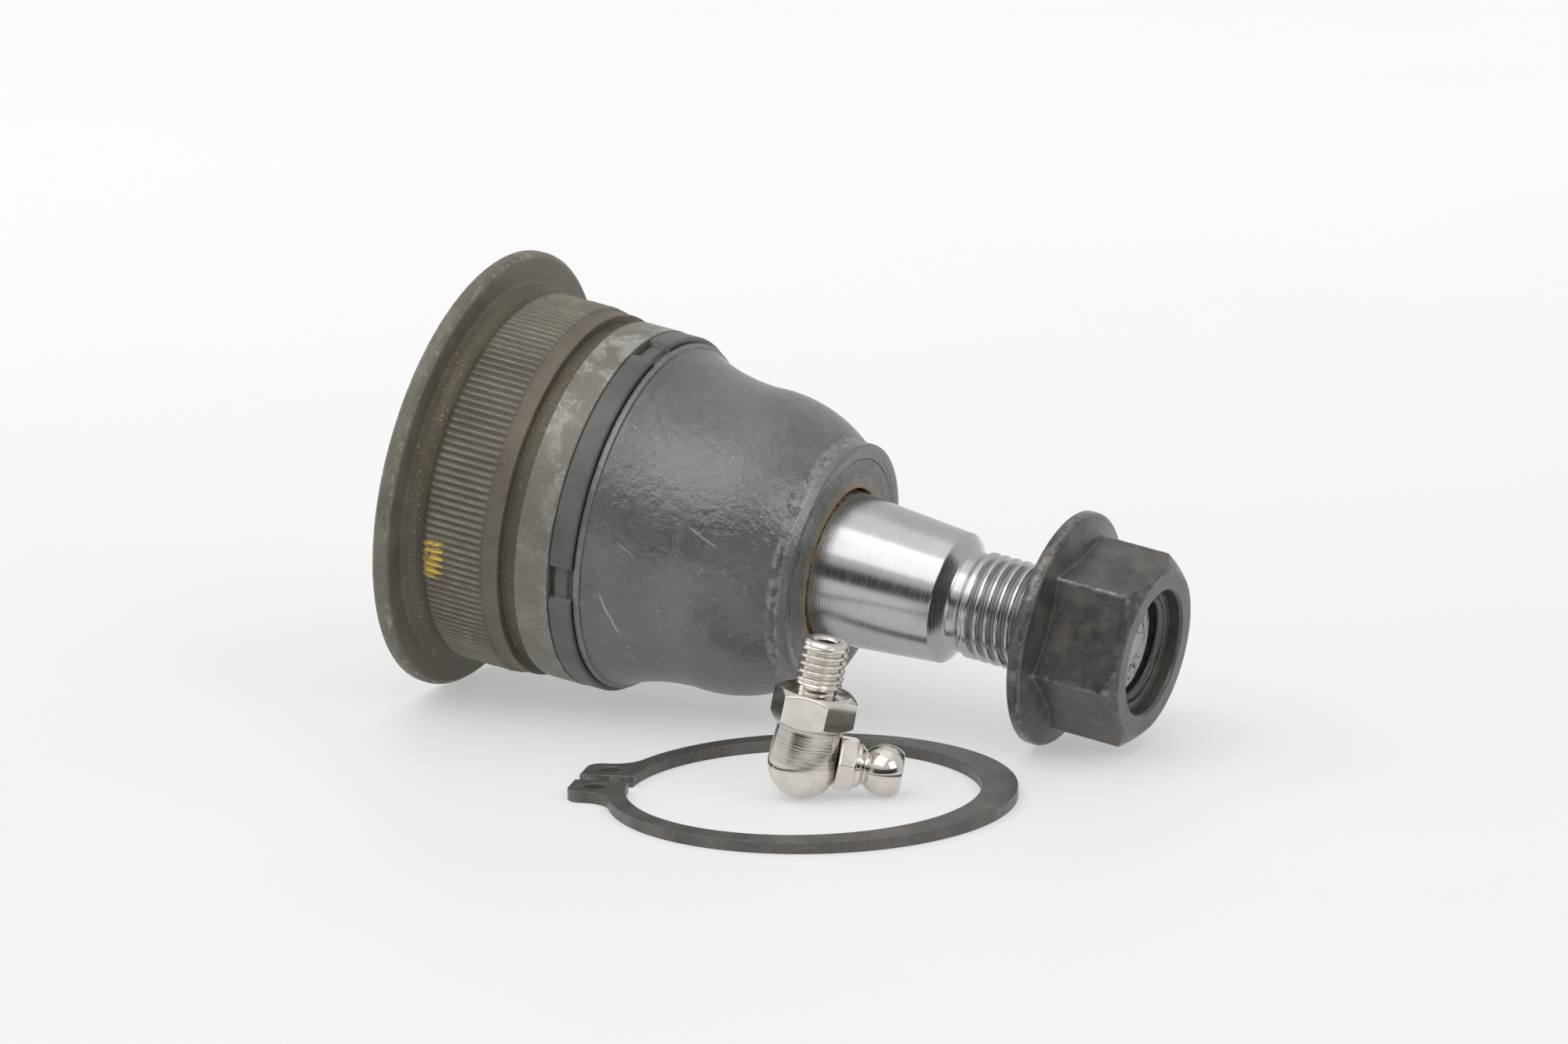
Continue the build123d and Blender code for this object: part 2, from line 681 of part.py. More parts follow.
hex_start = elbow_height - elbow_radius
hex_end = hex_start + elbow_hex_height
thread_top = hex_end + elbow_thread_length
waist_radius = elbow_radius - elbow_waist
with BuildPart() as fitting_body:
    # Body with a ball-shaped bottom, the neck and the plain form of the thread
    with BuildSketch(elbow_profile):
        with BuildLine():
            ThreePointArc(
                (-elbow_radius, 0),
                (-elbow_radius * cos(pi / 4), elbow_radius * sin(pi / 4)),
                (0, elbow_radius),
            )
            Polyline(
                (0, elbow_radius),
                (hex_start, waist_radius),
                (hex_end, waist_radius),
                (hex_end, elbow_neck_radius),
                (hex_end + elbow_neck_length, elbow_neck_radius),
                (hex_end + elbow_neck_length, elbow_thread_radius),
                (thread_top - elbow_thread_chamfer, elbow_thread_radius),
                (thread_top, elbow_thread_radius - elbow_thread_chamfer),
                (thread_top, 0),
                (-elbow_radius, 0),
            )
        make_face()
    revolve(axis=elbow_axis)
    # Hexagon, with the corners of both ends turned off
    with BuildSketch(elbow_level(hex_start)):
        RegularPolygon(elbow_hex / 2, 6, major_radius=False, rotation=elbow_hex_turn)
    extrude(amount=elbow_hex_height)
    hex_corner = elbow_hex / sqrt(3) + cut_margin
    hex_cut = (hex_corner - elbow_hex / 2 + elbow_hex_bite) * elbow_hex_slope
    for end, inward in ((hex_start, 1), (hex_end, -1)):
        with BuildSketch(elbow_profile):
            with BuildLine():
                Polyline(
                    (end, elbow_hex / 2 - elbow_hex_bite),
                    (end, hex_corner),
                    (end + inward * hex_cut, hex_corner),
                    close=True,
                )
            make_face()
        revolve(axis=elbow_axis, mode=Mode.SUBTRACT)
    # Flat that the nipple's collar seats on, and the two bores, which meet on the axis
    with BuildSketch(nipple_level(collar_root)):
        Rectangle(2 * (hex_start - nipple_rise - flat_margin), 3 * elbow_radius)
    extrude(amount=elbow_radius, mode=Mode.SUBTRACT)
    with BuildSketch(nipple_level(nipple_socket)):
        Circle(nipple_shank_radius + fit_gap)
    extrude(amount=elbow_radius, mode=Mode.SUBTRACT)
    with BuildSketch(nipple_level(0)):
        Circle(elbow_bore_radius)
    extrude(amount=elbow_radius, mode=Mode.SUBTRACT)
    with BuildSketch(elbow_level(nipple_rise - elbow_bore_radius)):
        Circle(elbow_bore_radius)
    extrude(amount=thread_top, mode=Mode.SUBTRACT)
fitting_body.part.label = "fitting_body"
export_step(fitting_body.part, "parts/fitting_body.step")

# ---------------------------------------------------------------- nipple, pressed into the elbow
shank_start = nipple_socket + seat_gap
collar_seat = collar_root + seat_gap
collar_front = collar_seat + nipple_collar_length
head_tip = nipple_reach + nipple_head_tip
# The ball closes against the edge of the hole in the tip
seat_edge = head_tip - nipple_lip
check_centre = seat_edge - sqrt(check_ball_radius**2 - nipple_hole_radius**2) - seat_gap
spring_room = nipple_bore_radius - nipple_hole_radius
with BuildPart() as fitting_nipple:
    with BuildSketch(nipple_profile):
        with BuildLine():
            Polyline(
                (shank_start, nipple_hole_radius),
                (shank_start, nipple_shank_radius),
                (collar_front, nipple_shank_radius),
                (collar_front, nipple_flange_radius),
                (collar_front + nipple_flange_length, nipple_flange_radius),
                (collar_front + 2 * nipple_flange_length, nipple_neck_radius),
                (nipple_reach - nipple_neck_at, nipple_neck_radius),
            )
            ThreePointArc(
                (nipple_reach - nipple_neck_at, nipple_neck_radius),
                (nipple_reach, nipple_head_radius),
                (head_tip, sqrt(nipple_head_radius**2 - nipple_head_tip**2)),
            )
            Polyline(
                (head_tip, sqrt(nipple_head_radius**2 - nipple_head_tip**2)),
                (head_tip, nipple_hole_radius),
                (seat_edge, nipple_hole_radius),
                (seat_edge - spring_room, nipple_bore_radius),
                (shank_start + nipple_lip, nipple_bore_radius),
                (shank_start + nipple_lip, nipple_hole_radius),
                (shank_start, nipple_hole_radius),
            )
        make_face()
    revolve(axis=nipple_axis)
    with BuildSketch(nipple_level(collar_seat)):
        RegularPolygon(nipple_collar_hex / 2, 6, major_radius=False, rotation=nipple_hex_turn)
        Circle(nipple_bore_radius, mode=Mode.SUBTRACT)
    extrude(amount=nipple_collar_length)
fitting_nipple.part.label = "fitting_nipple"
export_step(fitting_nipple.part, "parts/fitting_nipple.step")

# ---------------------------------------------------------------- check ball and its spring
with BuildPart() as check_ball:
    with BuildSketch(nipple_profile):
        with BuildLine():
            ball_line = ThreePointArc(
                (check_centre - check_ball_radius, 0),
                (check_centre, check_ball_radius),
                (check_centre + check_ball_radius, 0),
            )
            Line(ball_line @ 1, ball_line @ 0)
        make_face()
    revolve(axis=nipple_axis)
check_ball.part.label = "check_ball"
export_step(check_ball.part, "parts/check_ball.step")

coil_start = shank_start + nipple_lip + check_wire_radius + seat_gap
ball_reach = check_ball_radius + check_wire_radius + run_gap
coil_end = check_centre - sqrt(ball_reach**2 - check_coil_radius**2)
coil_pitch = (coil_end - coil_start) / check_turns
with BuildPart() as check_spring:
    with BuildLine() as coil:
        Helix(
            coil_pitch,
            coil_end - coil_start,
            check_coil_radius,
            center=nipple_root + nipple_out * coil_start,
            direction=nipple_out,
        )
    with BuildSketch(Plane(coil.line @ 0, z_dir=coil.line % 0)):
        RegularPolygon(check_wire_radius, 6)
    sweep(is_frenet=True)
check_spring.part.label = "check_spring"
export_step(check_spring.part, "parts/check_spring.step")
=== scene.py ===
import json
import bmesh
import bpy
import numpy as np
from mathutils import Matrix, Vector


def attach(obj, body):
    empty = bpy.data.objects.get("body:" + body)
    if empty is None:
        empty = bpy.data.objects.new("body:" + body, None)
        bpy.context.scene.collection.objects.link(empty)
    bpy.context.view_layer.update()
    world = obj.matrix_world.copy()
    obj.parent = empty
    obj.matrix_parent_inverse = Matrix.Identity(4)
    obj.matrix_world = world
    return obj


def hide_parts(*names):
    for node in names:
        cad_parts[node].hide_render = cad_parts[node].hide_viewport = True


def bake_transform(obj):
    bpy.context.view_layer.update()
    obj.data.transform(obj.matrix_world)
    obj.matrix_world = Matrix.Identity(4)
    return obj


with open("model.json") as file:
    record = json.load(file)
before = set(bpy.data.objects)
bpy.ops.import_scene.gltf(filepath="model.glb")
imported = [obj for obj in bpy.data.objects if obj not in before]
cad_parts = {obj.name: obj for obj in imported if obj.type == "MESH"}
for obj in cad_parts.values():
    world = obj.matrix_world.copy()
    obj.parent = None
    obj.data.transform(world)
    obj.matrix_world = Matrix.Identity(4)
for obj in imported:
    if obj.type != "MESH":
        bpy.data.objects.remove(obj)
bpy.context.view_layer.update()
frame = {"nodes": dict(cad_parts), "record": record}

# ---------------------------------------------------------------- table, light and camera
# The set lies on a plain white sheet that has no edge in view, with a painted glow that stands in for
# light from below. The lights are soft: a broad key above and in front, a fill from the right and a
# weaker one from the left, in a bright white room.
mm = 0.001
lens = 217.985
camera_place = Vector((0.52326, -1.04375, 0.3163))
camera_turn = 26.38
camera_drop = 13.815
camera_roll = -1.106

camera = bpy.data.objects.new("camera", bpy.data.cameras.new("camera"))
camera.data.lens = lens
camera.data.sensor_width = 36.0
camera.data.clip_start = 0.05
camera.data.clip_end = 20.0
heading = np.radians(camera_turn)
drop = np.radians(camera_drop)
gaze = Vector((-np.sin(heading) * np.cos(drop), np.cos(heading) * np.cos(drop), -np.sin(drop)))
camera.location = camera_place
camera.rotation_mode = "QUATERNION"
upright = gaze.to_track_quat("-Z", "Y").to_matrix()
camera.rotation_quaternion = (upright @ Matrix.Rotation(np.radians(camera_roll), 3, "Z")).to_quaternion()
bpy.context.scene.collection.objects.link(camera)
bpy.context.scene.camera = camera

table_half = 3.0
table_mesh = bpy.data.meshes.new("table")
table_mesh.from_pydata(
    [(x, y, 0.0) for x, y in ((-1, -1), (1, -1), (1, 1), (-1, 1))], [], [(0, 1, 2, 3)]
)
table_mesh.transform(Matrix.Scale(table_half, 4))
table = bpy.data.objects.new("table", table_mesh)
bpy.context.scene.collection.objects.link(table)


class Value:
    """A socket of a finish. Arithmetic on it adds Math nodes to the finish."""

    def __init__(self, finish, socket):
        self.finish = finish
        self.socket = socket

    def math(self, operation, *others, **settings):
        inputs = dict(enumerate((self, *others)))
        return self.finish.node("Math", inputs, operation=operation, **settings)

    def __add__(self, other):
        return self.math("ADD", other)

    def __sub__(self, other):
        return self.math("SUBTRACT", other)

    def __rsub__(self, other):
        return self.finish.node("Math", {0: other, 1: self}, operation="SUBTRACT")

    def __mul__(self, other):
        return self.math("MULTIPLY", other)

    def __truediv__(self, other):
        return self.math("DIVIDE", other)

    def __pow__(self, other):
        return self.math("POWER", other)

    __radd__ = __add__
    __rmul__ = __mul__

    def clamped(self):
        return self.math("ADD", 0.0, use_clamp=True)

    def between(self, low, high):
        """0 below low and 1 above high, with a smooth step from one to the other."""
        return self.finish.node(
            "MapRange", {"Value": self, 1: low, 2: high}, interpolation_type="SMOOTHSTEP"
        )

    def band(self, low, high, edge):
        """1 from low to high and 0 outside, over soft edges."""
        return self.between(low - edge, low + edge) * (1 - self.between(high - edge, high + edge))

    def dot(self, direction):
        inputs = {0: self, 1: tuple(direction)}
        return self.finish.node("VectorMath", inputs, output="Value", operation="DOT_PRODUCT")


class Finish:
    """A material or a world that is built up node by node."""

    def __init__(self, made, shader="Principled BSDF", place="Object"):
        made.use_nodes = True
        self.made = made
        self.shader = made.node_tree.nodes[shader]
        self.place = self.node("TexCoord", {}, output=place)
        self.in_mm = self.node("VectorMath", {0: self.place, 3: 1.0 / mm}, operation="SCALE")

    def node(self, kind, inputs, output=0, **settings):
        """Adds a node: its settings first, then the values or links of its sockets."""
        made = self.made.node_tree.nodes.new("ShaderNode" + kind)
        for setting, value in settings.items():
            setattr(made, setting, value)
        self.fill(made, inputs)
        return Value(self, made.outputs[output])

    def fill(self, made, inputs):
        for key, value in inputs.items():
            socket = made.inputs[key]
            if isinstance(value, Value):
                self.made.node_tree.links.new(value.socket, socket)
            elif socket.type == "RGBA":
                socket.default_value = (*value, 1.0)
            else:
                socket.default_value = value

    def mix(self, amount, low, high):
        """Colour that goes from low to high as amount goes from 0 to 1."""
        inputs = {0: amount, 6: low, 7: high}
        return self.node("Mix", inputs, output=2, data_type="RGBA")

    def noise(self, size, detail=3.0, roughness=0.55, twist=0.0):
        """Cloudy noise, whose blobs are about size mm across."""
        inputs = {"Vector": self.in_mm, "Scale": 1.0 / size, "Detail": detail}
        inputs |= {"Roughness": roughness, "Distortion": twist}
        return self.node("TexNoise", inputs)

    def set(self, **values):
        """Sets the shader's sockets; Base_Color means Base Color."""
        self.fill(self.shader, {key.replace("_", " "): value for key, value in values.items()})

    def bump(self, height, depth):
        """Surface relief: height from 0 to 1, and its depth in mm."""
        return self.node("Bump", {"Height": height, "Distance": depth * mm, "Strength": 1.0})


table_finish = Finish(bpy.data.materials.new("white_table"))
cloth = table_finish.noise(60.0, 2.0)
# Painted light: the sheet has a painted glow, stronger behind the joint, and towards the viewer
# its glow and its colour are painted darker, as shade
front_shade, far_rise = (-520.0, -150.0), (-60.0, 420.0)
behind = table_finish.in_mm.dot((-np.sin(heading), np.cos(heading), 0.0))
front_shade_mask = behind.between(*front_shade)
painted_glow = table_finish.mix(front_shade_mask, (0.26, 0.26, 0.26), (1.06, 1.06, 1.065))
painted_glow = table_finish.mix(behind.between(*far_rise), painted_glow, (1.37, 1.37, 1.39))
plain = table_finish.mix(cloth, (0.42, 0.42, 0.425), (0.44, 0.44, 0.445))
table_finish.set(
    Base_Color=table_finish.mix(front_shade_mask, (0.20, 0.20, 0.20), plain),
    Roughness=0.6,
    Emission_Color=painted_glow,
    Emission_Strength=0.37,
)
table_mesh.materials.append(table_finish.made)


lamp_aim = Vector((0.0, 0.0, 0.02))


def soft_light(name, place, size, power):
    """A rectangular lamp turned towards the set: place and size in m, power in W."""
    lamp = bpy.data.lights.new(name, "AREA")
    lamp.shape = "RECTANGLE"
    lamp.size, lamp.size_y = size
    lamp.energy = power
    made = bpy.data.objects.new(name, lamp)
    made.location = place
    made.rotation_mode = "QUATERNION"
    made.rotation_quaternion = (lamp_aim - Vector(place)).to_track_quat("-Z", "Y")
    bpy.context.scene.collection.objects.link(made)


soft_light("key", (-0.12, -0.50, 0.80), (1.00, 0.74), 2.7)
soft_light("right", (0.72, -0.30, 0.52), (0.45, 0.45), 1.3)
soft_light("left", (-0.80, -0.10, 0.50), (0.5, 0.6), 0.9)
# The room: white all round, brightest overhead and dark low down behind the viewer
zenith, sky, viewer_side, viewer_top = (0.84, 0.95), (0.55, 0.95), (0.35, 0.75), (0.26, 0.42)
surround = Finish(bpy.data.worlds.new("surround"), "Background", "Generated")
toward_viewer = surround.place.dot(-gaze)
height = surround.place.dot((0, 0, 1))
dark = toward_viewer.between(*viewer_side) * (1 - height.between(*viewer_top))
dim = (1 - height.between(*sky)) * 0.10
shaded = (dark * 0.9 + dim).clamped()
sweep = surround.mix(height.between(*zenith), (1.0, 1.0, 1.0), (1.42, 1.42, 1.43))
surround.set(Color=surround.mix(shaded, sweep, (0.07, 0.07, 0.07)), Strength=0.80)
bpy.context.scene.world = surround.made
bpy.context.scene.view_settings.view_transform = "Standard"

# ---------------------------------------------------------------- housing
# Turned from a steel forging: a thin flange, a fine straight knurl that grips the arm's bore,
# the snap ring's groove and a ground pilot land, all phosphated dark and rubbed bright in use; the
# knurl also has a painted highlight on its crests and painted shade in its roots.
mounts = {mount["name"]: mount for mount in frame["record"]["mounts"]}
along = Vector(mounts["arm_pilot"]["axis"]).normalized()
across = Vector((0, 1, 0))
upward = along.cross(across)
flange_radius = 29.0
flange_thickness = 2.2
knurl_start, knurl_end = 4.9, 13.5
knurl_radius, knurl_depth, knurl_teeth = 24.5, 0.42, 156
spokes_per_tooth, tooth_runout, tooth_waver = 6, 0.55, 0.08
crest_width, flank_slope = 1.25, 1.5
undercut_radius, rim_round, rim_chamfer = 23.9, 0.4, 0.65
groove_start, groove_end, groove_radius = 15.7, 17.9, 22.75
pilot_radius, pilot_end = 23.7, 22.7
nose_radius, nose_end = 20.6, 25.7
bore_radius = 19.0
shoulder_start, shoulder_end, shoulder_radius, mouth_cone = 21.4, 21.75, 13.0, 15.6
cap_start, cap_end, cap_radius, lip_edge = 0.8, 3.4, 20.95, 20.4
pilot_middle = (groove_end + pilot_end) / 2
back = Vector(mounts["arm_pilot"]["pos_m"]) - along * pilot_middle * mm
joint = (back, along, across, upward)


def softened(points, radius=0.2, steps=4):
    """The outline of (station, radius) points with each corner turned into a small arc."""
    points = [np.array(point, float) for point in points]
    made = [points[0]]
    for before, corner, after in zip(points, points[1:], points[2:]):
        into, out = before - corner, after - corner
        into_length, out_length = np.linalg.norm(into), np.linalg.norm(out)
        reach = min(radius, 0.45 * into_length, 0.45 * out_length)
        start, end = corner + into / into_length * reach, corner + out / out_length * reach
        for step in range(steps + 1):
            t = step / steps
            made.append((1 - t) ** 2 * start + 2 * t * (1 - t) * corner + t**2 * end)
    made.append(points[-1])
    return [tuple(point) for point in made]


def spun(name, rings, on=joint, spokes=None, looped=False):
    """A turned piece: rings of (station, radius) in mm along an axis; a radius may be one number
    or an array with one for each spoke. A looped piece joins its last ring to its first."""
    origin, axis, zero, quarter = (np.array(v) for v in on)
    spokes = spokes or max(np.size(radius) for _, radius in rings)
    turn = np.arange(spokes) / spokes * 2 * np.pi
    outward = np.cos(turn)[:, None] * zero + np.sin(turn)[:, None] * quarter
    places = [
        origin + np.reshape(station, (-1, 1)) * mm * axis + np.reshape(radius, (-1, 1)) * mm * outward
        for station, radius in rings
    ]
    places = [np.broadcast_to(ring, (spokes, 3)) for ring in places]
    faces = []
    last = len(rings) if looped else len(rings) - 1
    for ring in range(last):
        here, there = ring * spokes, (ring + 1) % len(rings) * spokes
        for spoke in range(spokes):
            beside = (spoke + 1) % spokes
            faces.append((here + spoke, here + beside, there + beside, there + spoke))
    mesh = bpy.data.meshes.new(name)
    mesh.from_pydata(np.concatenate(places).tolist(), [], faces)
    return finished_mesh(name, mesh)


def finished_mesh(name, mesh):
    """Joins the points that meet, at a pole or a seam, and shades the piece smooth."""
    edit = bmesh.new()
    edit.from_mesh(mesh)
    bmesh.ops.remove_doubles(edit, verts=edit.verts, dist=1e-7)
    bmesh.ops.recalc_face_normals(edit, faces=edit.faces)
    for face in edit.faces:
        face.smooth = True
    edit.to_mesh(mesh)
    edit.free()
    piece = bpy.data.objects.new(name, mesh)
    bpy.context.scene.collection.objects.link(piece)
    weighted = piece.modifiers.new("weighted", "WEIGHTED_NORMAL")
    weighted.weight = 60
    return piece


spokes = knurl_teeth * spokes_per_tooth
tooth = np.arange(spokes) / spokes * knurl_teeth % 1
ridge = np.clip(crest_width - np.abs(2 * tooth - 1) * flank_slope, 0, 1)
chance = np.random.default_rng(4)
uneven = np.repeat(chance.uniform(0.82, 1.0, knurl_teeth), spokes_per_tooth)
rear = softened(
    [
        (cap_start, lip_edge),
        (0.15, lip_edge - 0.3),
        (0.0, lip_edge + 0.2),
        (0.0, flange_radius - rim_round),
        (rim_round, flange_radius),
        (flange_thickness - rim_chamfer, flange_radius),
        (flange_thickness, flange_radius - rim_chamfer),
        (flange_thickness, 25.4),
        (2.9, 24.3),
        (3.7, undercut_radius),
        (4.5, undercut_radius),
        (knurl_start, undercut_radius + 0.15),
    ],
    0.25,
)
root = knurl_radius - knurl_depth
knurl = []
for station in np.linspace(knurl_start + 0.05, knurl_end - 0.05, 22):
    inside = min(station - knurl_start, knurl_end - station)
    height = np.clip(inside / tooth_runout, 0, 1) ** 0.7
    waver = 1 + tooth_waver * np.sin(station * 2.1 + uneven * 40)
    knurl.append((station, root + knurl_depth * ridge * uneven * height * waver))
front = softened(
    [
        (knurl_end, root - 0.02),
        (groove_start, root - 0.02),
        (groove_start, groove_radius),
        (groove_end, groove_radius),
        (groove_end, pilot_radius),
        (pilot_end, pilot_radius),
        (pilot_end, nose_radius),
        (nose_end, nose_radius),
        (nose_end, mouth_cone),
        (shoulder_end, shoulder_radius),
        (shoulder_start, shoulder_radius),
        (shoulder_start, bore_radius),
        (cap_end, bore_radius),
        (cap_end, cap_radius),
        (cap_start, cap_radius),
        (cap_start, lip_edge),
    ],
    0.22,
)
housing = spun("housing_skin", rear + knurl + front, spokes=spokes)
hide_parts("housing")
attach(housing, "housing")


def phosphate(name, dark, light):
    """Crystalline grey coating on steel: a mottled dark colour with a fine grain."""
    finish = Finish(bpy.data.materials.new(name))
    clouds = finish.noise(5.0, 5.0, 0.6)
    grain = finish.noise(0.28, 2.0)
    tone = finish.mix((clouds * 0.65 + grain * 0.35).between(0.33, 0.68), dark, light)
    return finish, clouds, grain, tone


def around_joint(finish):
    """Station along the joint's axis and distance from it, in mm, and the turn from the side that
    faces the viewer, in degrees, which grows downwards."""
    start = back / mm
    station = finish.in_mm.dot(along) - start.dot(along)
    side = start.dot(across) - finish.in_mm.dot(across)
    drop = start.dot(upward) - finish.in_mm.dot(upward)
    radius = (side * side + drop * drop) ** 0.5
    return station, radius, drop.math("ARCTAN2", side) * (180 / np.pi)


rubbed_grey, cloud_grey, scratch_grey = (0.180, 0.165, 0.142), (0.44, 0.43, 0.41), (0.52, 0.51, 0.49)
land_brown, crest_highlight_bronze, root_shade_brown = (0.108, 0.090, 0.068), (0.32, 0.30, 0.25), (0.060, 0.053, 0.037)
bare_steel, corner_dark_brown = (0.46, 0.45, 0.43), (0.072, 0.063, 0.038)
cutting_dust, paint_yellow = (0.46, 0.35, 0.12), (0.78, 0.54, 0.06)
coat, clouds, grain, tone = phosphate("phosphated_housing", (0.124, 0.110, 0.084), (0.200, 0.181, 0.145))
station, radius, turn = around_joint(coat)
scuffs = coat.noise(4.5, 6.0, 0.62, twist=0.6)
fine_scuffs = coat.noise(1.2, 4.0, 0.65)
# The pilot is rubbed to a lighter, warmer grey, cloudy towards the top
pilot = station.band(groove_end + 0.1, pilot_end - 0.1, 0.12)
upper = (turn * -1.0).between(-10.0, 80.0)
cloudy = pilot * scuffs.between(0.48, 0.66) * (0.25 + upper * 0.75)
tone = coat.mix(pilot * (0.45 + fine_scuffs * 0.4), tone, rubbed_grey)
tone = coat.mix((cloudy * 0.6).clamped(), tone, cloud_grey)
# and a net of pale scratches lies over it
net = coat.noise(2.6, 6.0, 0.62, twist=1.2).band(0.488, 0.504, 0.010) * scuffs.between(0.44, 0.58)
tone = coat.mix((net * pilot * (0.3 + upper * 0.5)).clamped(), tone, scratch_grey)
land = station.band(knurl_end + 0.1, groove_start - 0.05, 0.1)
tone = coat.mix(land * 0.45, tone, land_brown)
# Knurl: lighter on the crests, partly rubbed and partly a painted highlight, and painted shade in the
# roots
knurled = station.band(knurl_start, knurl_end, 0.1)
crest = knurled * radius.between(knurl_radius - 0.2, knurl_radius - 0.02)
valley = knurled * (1 - radius.between(root, knurl_radius - 0.22))
tone = coat.mix(crest * (0.20 + scuffs.between(0.42, 0.62) * 0.45), tone, crest_highlight_bronze)
tone = coat.mix(valley * 0.5, tone, root_shade_brown)
# Rims rubbed bright in patches
rims = station.band(1.60, 2.05, 0.12) * radius.between(flange_radius - 0.7, flange_radius - 0.4)
rims = rims + station.band(0.1, 0.45, 0.1) * radius.between(flange_radius - 0.6, flange_radius - 0.2)
pilot_rim = station.band(pilot_end - 0.3, pilot_end + 0.05, 0.1)
rims = rims + pilot_rim * radius.between(pilot_radius - 0.3, pilot_radius - 0.1)
worn = (rims * fine_scuffs.between(0.48, 0.64)).clamped()
tone = coat.mix(worn * 0.45, tone, bare_steel)
# Darker in the corner by the flange and in the groove, with golden flecks of cutting dust
corner = station.band(flange_thickness + 0.1, knurl_start, 0.4)
corner = (corner + station.band(groove_start - 0.05, groove_end + 0.05, 0.15)).clamped()
tone = coat.mix(corner * 0.55, tone, corner_dark_brown)
flecks = coat.noise(0.36, 0.8).between(0.70, 0.73) * (0.14 + corner)
tone = coat.mix(flecks.clamped() * 0.8, tone, cutting_dust)
# A paint dab on the knurl: a zigzag that took on the crests only
stroke = station + (turn * 2.4).math("SINE") * 0.8 + fine_scuffs * 1.0
dab = station.band(4.8, 7.9, 0.15) * turn.band(7.0, 19.5, 0.6) * stroke.band(5.3, 7.9, 0.25)
dab = dab * (0.35 + crest * 0.8).clamped() * fine_scuffs.between(0.36, 0.46)
tone = coat.mix((dab * 1.25).clamped(), tone, paint_yellow)
coat.set(
    Base_Color=tone,
    Metallic=(0.25 + worn * 0.3 + cloudy * 0.15 - dab * 0.3).clamped(),
    Roughness=(0.52 - pilot * 0.10 - crest * 0.08 + (clouds - 0.5) * 0.3).clamped(),
    Normal=coat.bump(grain * 0.6 + clouds * 0.4, 0.045),
)
housing.data.materials.append(coat.made)

# ---------------------------------------------------------------- boot collar
# A band pressed from sheet steel and painted grey, that grips the boot's root. In four places it is
# pinched in: lower there, with a dark slot on either side of what is left.
collar_start, collar_end, collar_radius = 22.72, 25.88, 23.6
collar_inner = 22.5
pinch_turn, pinch_width, pinch_length, pinch_floor, slot_floor = 11.0, 4.6, 1.9, 23.0, 22.56
pinch_edge, slot_side, slot_round = 0.12, 0.06, 0.15
collar_spokes = 960
turn = np.arange(collar_spokes) / collar_spokes * 2 * np.pi - np.radians(pinch_turn)
beside = np.abs((turn + np.pi / 4) % (np.pi / 2) - np.pi / 4) * collar_radius
pinched = np.clip((pinch_width / 2 + pinch_edge - beside) / (2 * pinch_edge), 0, 1)
pinch_low = (collar_start + collar_end - pinch_length) / 2
pinch_high = collar_start + collar_end - pinch_low


def pinch(radius, floor):
    """The radius of a ring, which sinks to the floor where the band is pinched."""
    return radius - pinched * max(radius - floor, 0)


band = softened(
    [(collar_start, collar_inner + 0.1), (collar_start, collar_radius)]
    + [(collar_end, collar_radius), (collar_end, collar_inner + 0.1)],
    0.38,
    5,
)
edge = [point for point in band if point[0] < pinch_low - slot_side]
far_edge = [point for point in band if point[0] > pinch_high + slot_side]
floors = [
    (pinch_low - slot_side, slot_floor),
    (pinch_low + slot_side, pinch_floor - slot_side),
    (pinch_low + slot_round, pinch_floor),
    (pinch_high - slot_round, pinch_floor),
    (pinch_high - slot_side, pinch_floor - slot_side),
    (pinch_high + slot_side, slot_floor),
]
rings = [(station, pinch(radius, slot_floor)) for station, radius in edge]
rings += [(station, pinch(collar_radius, floor)) for station, floor in floors]
rings += [(station, pinch(radius, slot_floor)) for station, radius in far_edge]
rings += [(collar_end - 0.1, collar_inner), (collar_start + 0.1, collar_inner)]
collar = spun("boot_collar_skin", rings, spokes=collar_spokes, looped=True)
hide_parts("boot_collar")
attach(collar, "housing")

# Paint a little lighter than the boot, with small chips, and painted shade in the low slots beside the
# pinched places and on the inside
chipped_steel, slot_shade = (0.4, 0.4, 0.39), (0.035, 0.035, 0.030)
paint = Finish(bpy.data.materials.new("collar_paint"))
radius = around_joint(paint)[1]
clouds = paint.noise(5.0, 4.0)
fine = paint.noise(0.9, 4.0, 0.65)
chips = fine.between(0.68, 0.73)
lowered = 1 - radius.between(22.7, 22.95)
tone = paint.mix(clouds.between(0.3, 0.7), (0.080, 0.081, 0.080), (0.116, 0.117, 0.115))
tone = paint.mix(chips * 0.4, tone, chipped_steel)
tone = paint.mix(lowered * 0.6, tone, slot_shade)
paint.set(
    Base_Color=tone,
    Metallic=0.1 + chips * 0.3,
    Roughness=0.36 + clouds * 0.2,
    Normal=paint.bump(clouds * 0.6 + fine * 0.4, 0.06),
)
collar.data.materials.append(paint.made)

# ---------------------------------------------------------------- boot
# Moulded in dark rubber, fat and smooth: a root held by the collar with a ridge beside it, a bell
# that narrows towards the stud, and a bead with a pocket for the lip ring.
bead_inner, bead_outer = 20.9, 22.2
ridge_start, ridge_length, ridge_radius, mouth_radius = 26.0, 0.92, 22.9, 22.4
waist, brow = (38.0, 20.0), (45.5, 19.0)
boot_end, bead_width, bead_radius = 53.1, 1.9, 16.2
pocket_floor, pocket_radius, wall = 51.1, 14.2, 2.2
bore_at_lip, inner_mouth, root_start = 10.66, 13.5, 23.02


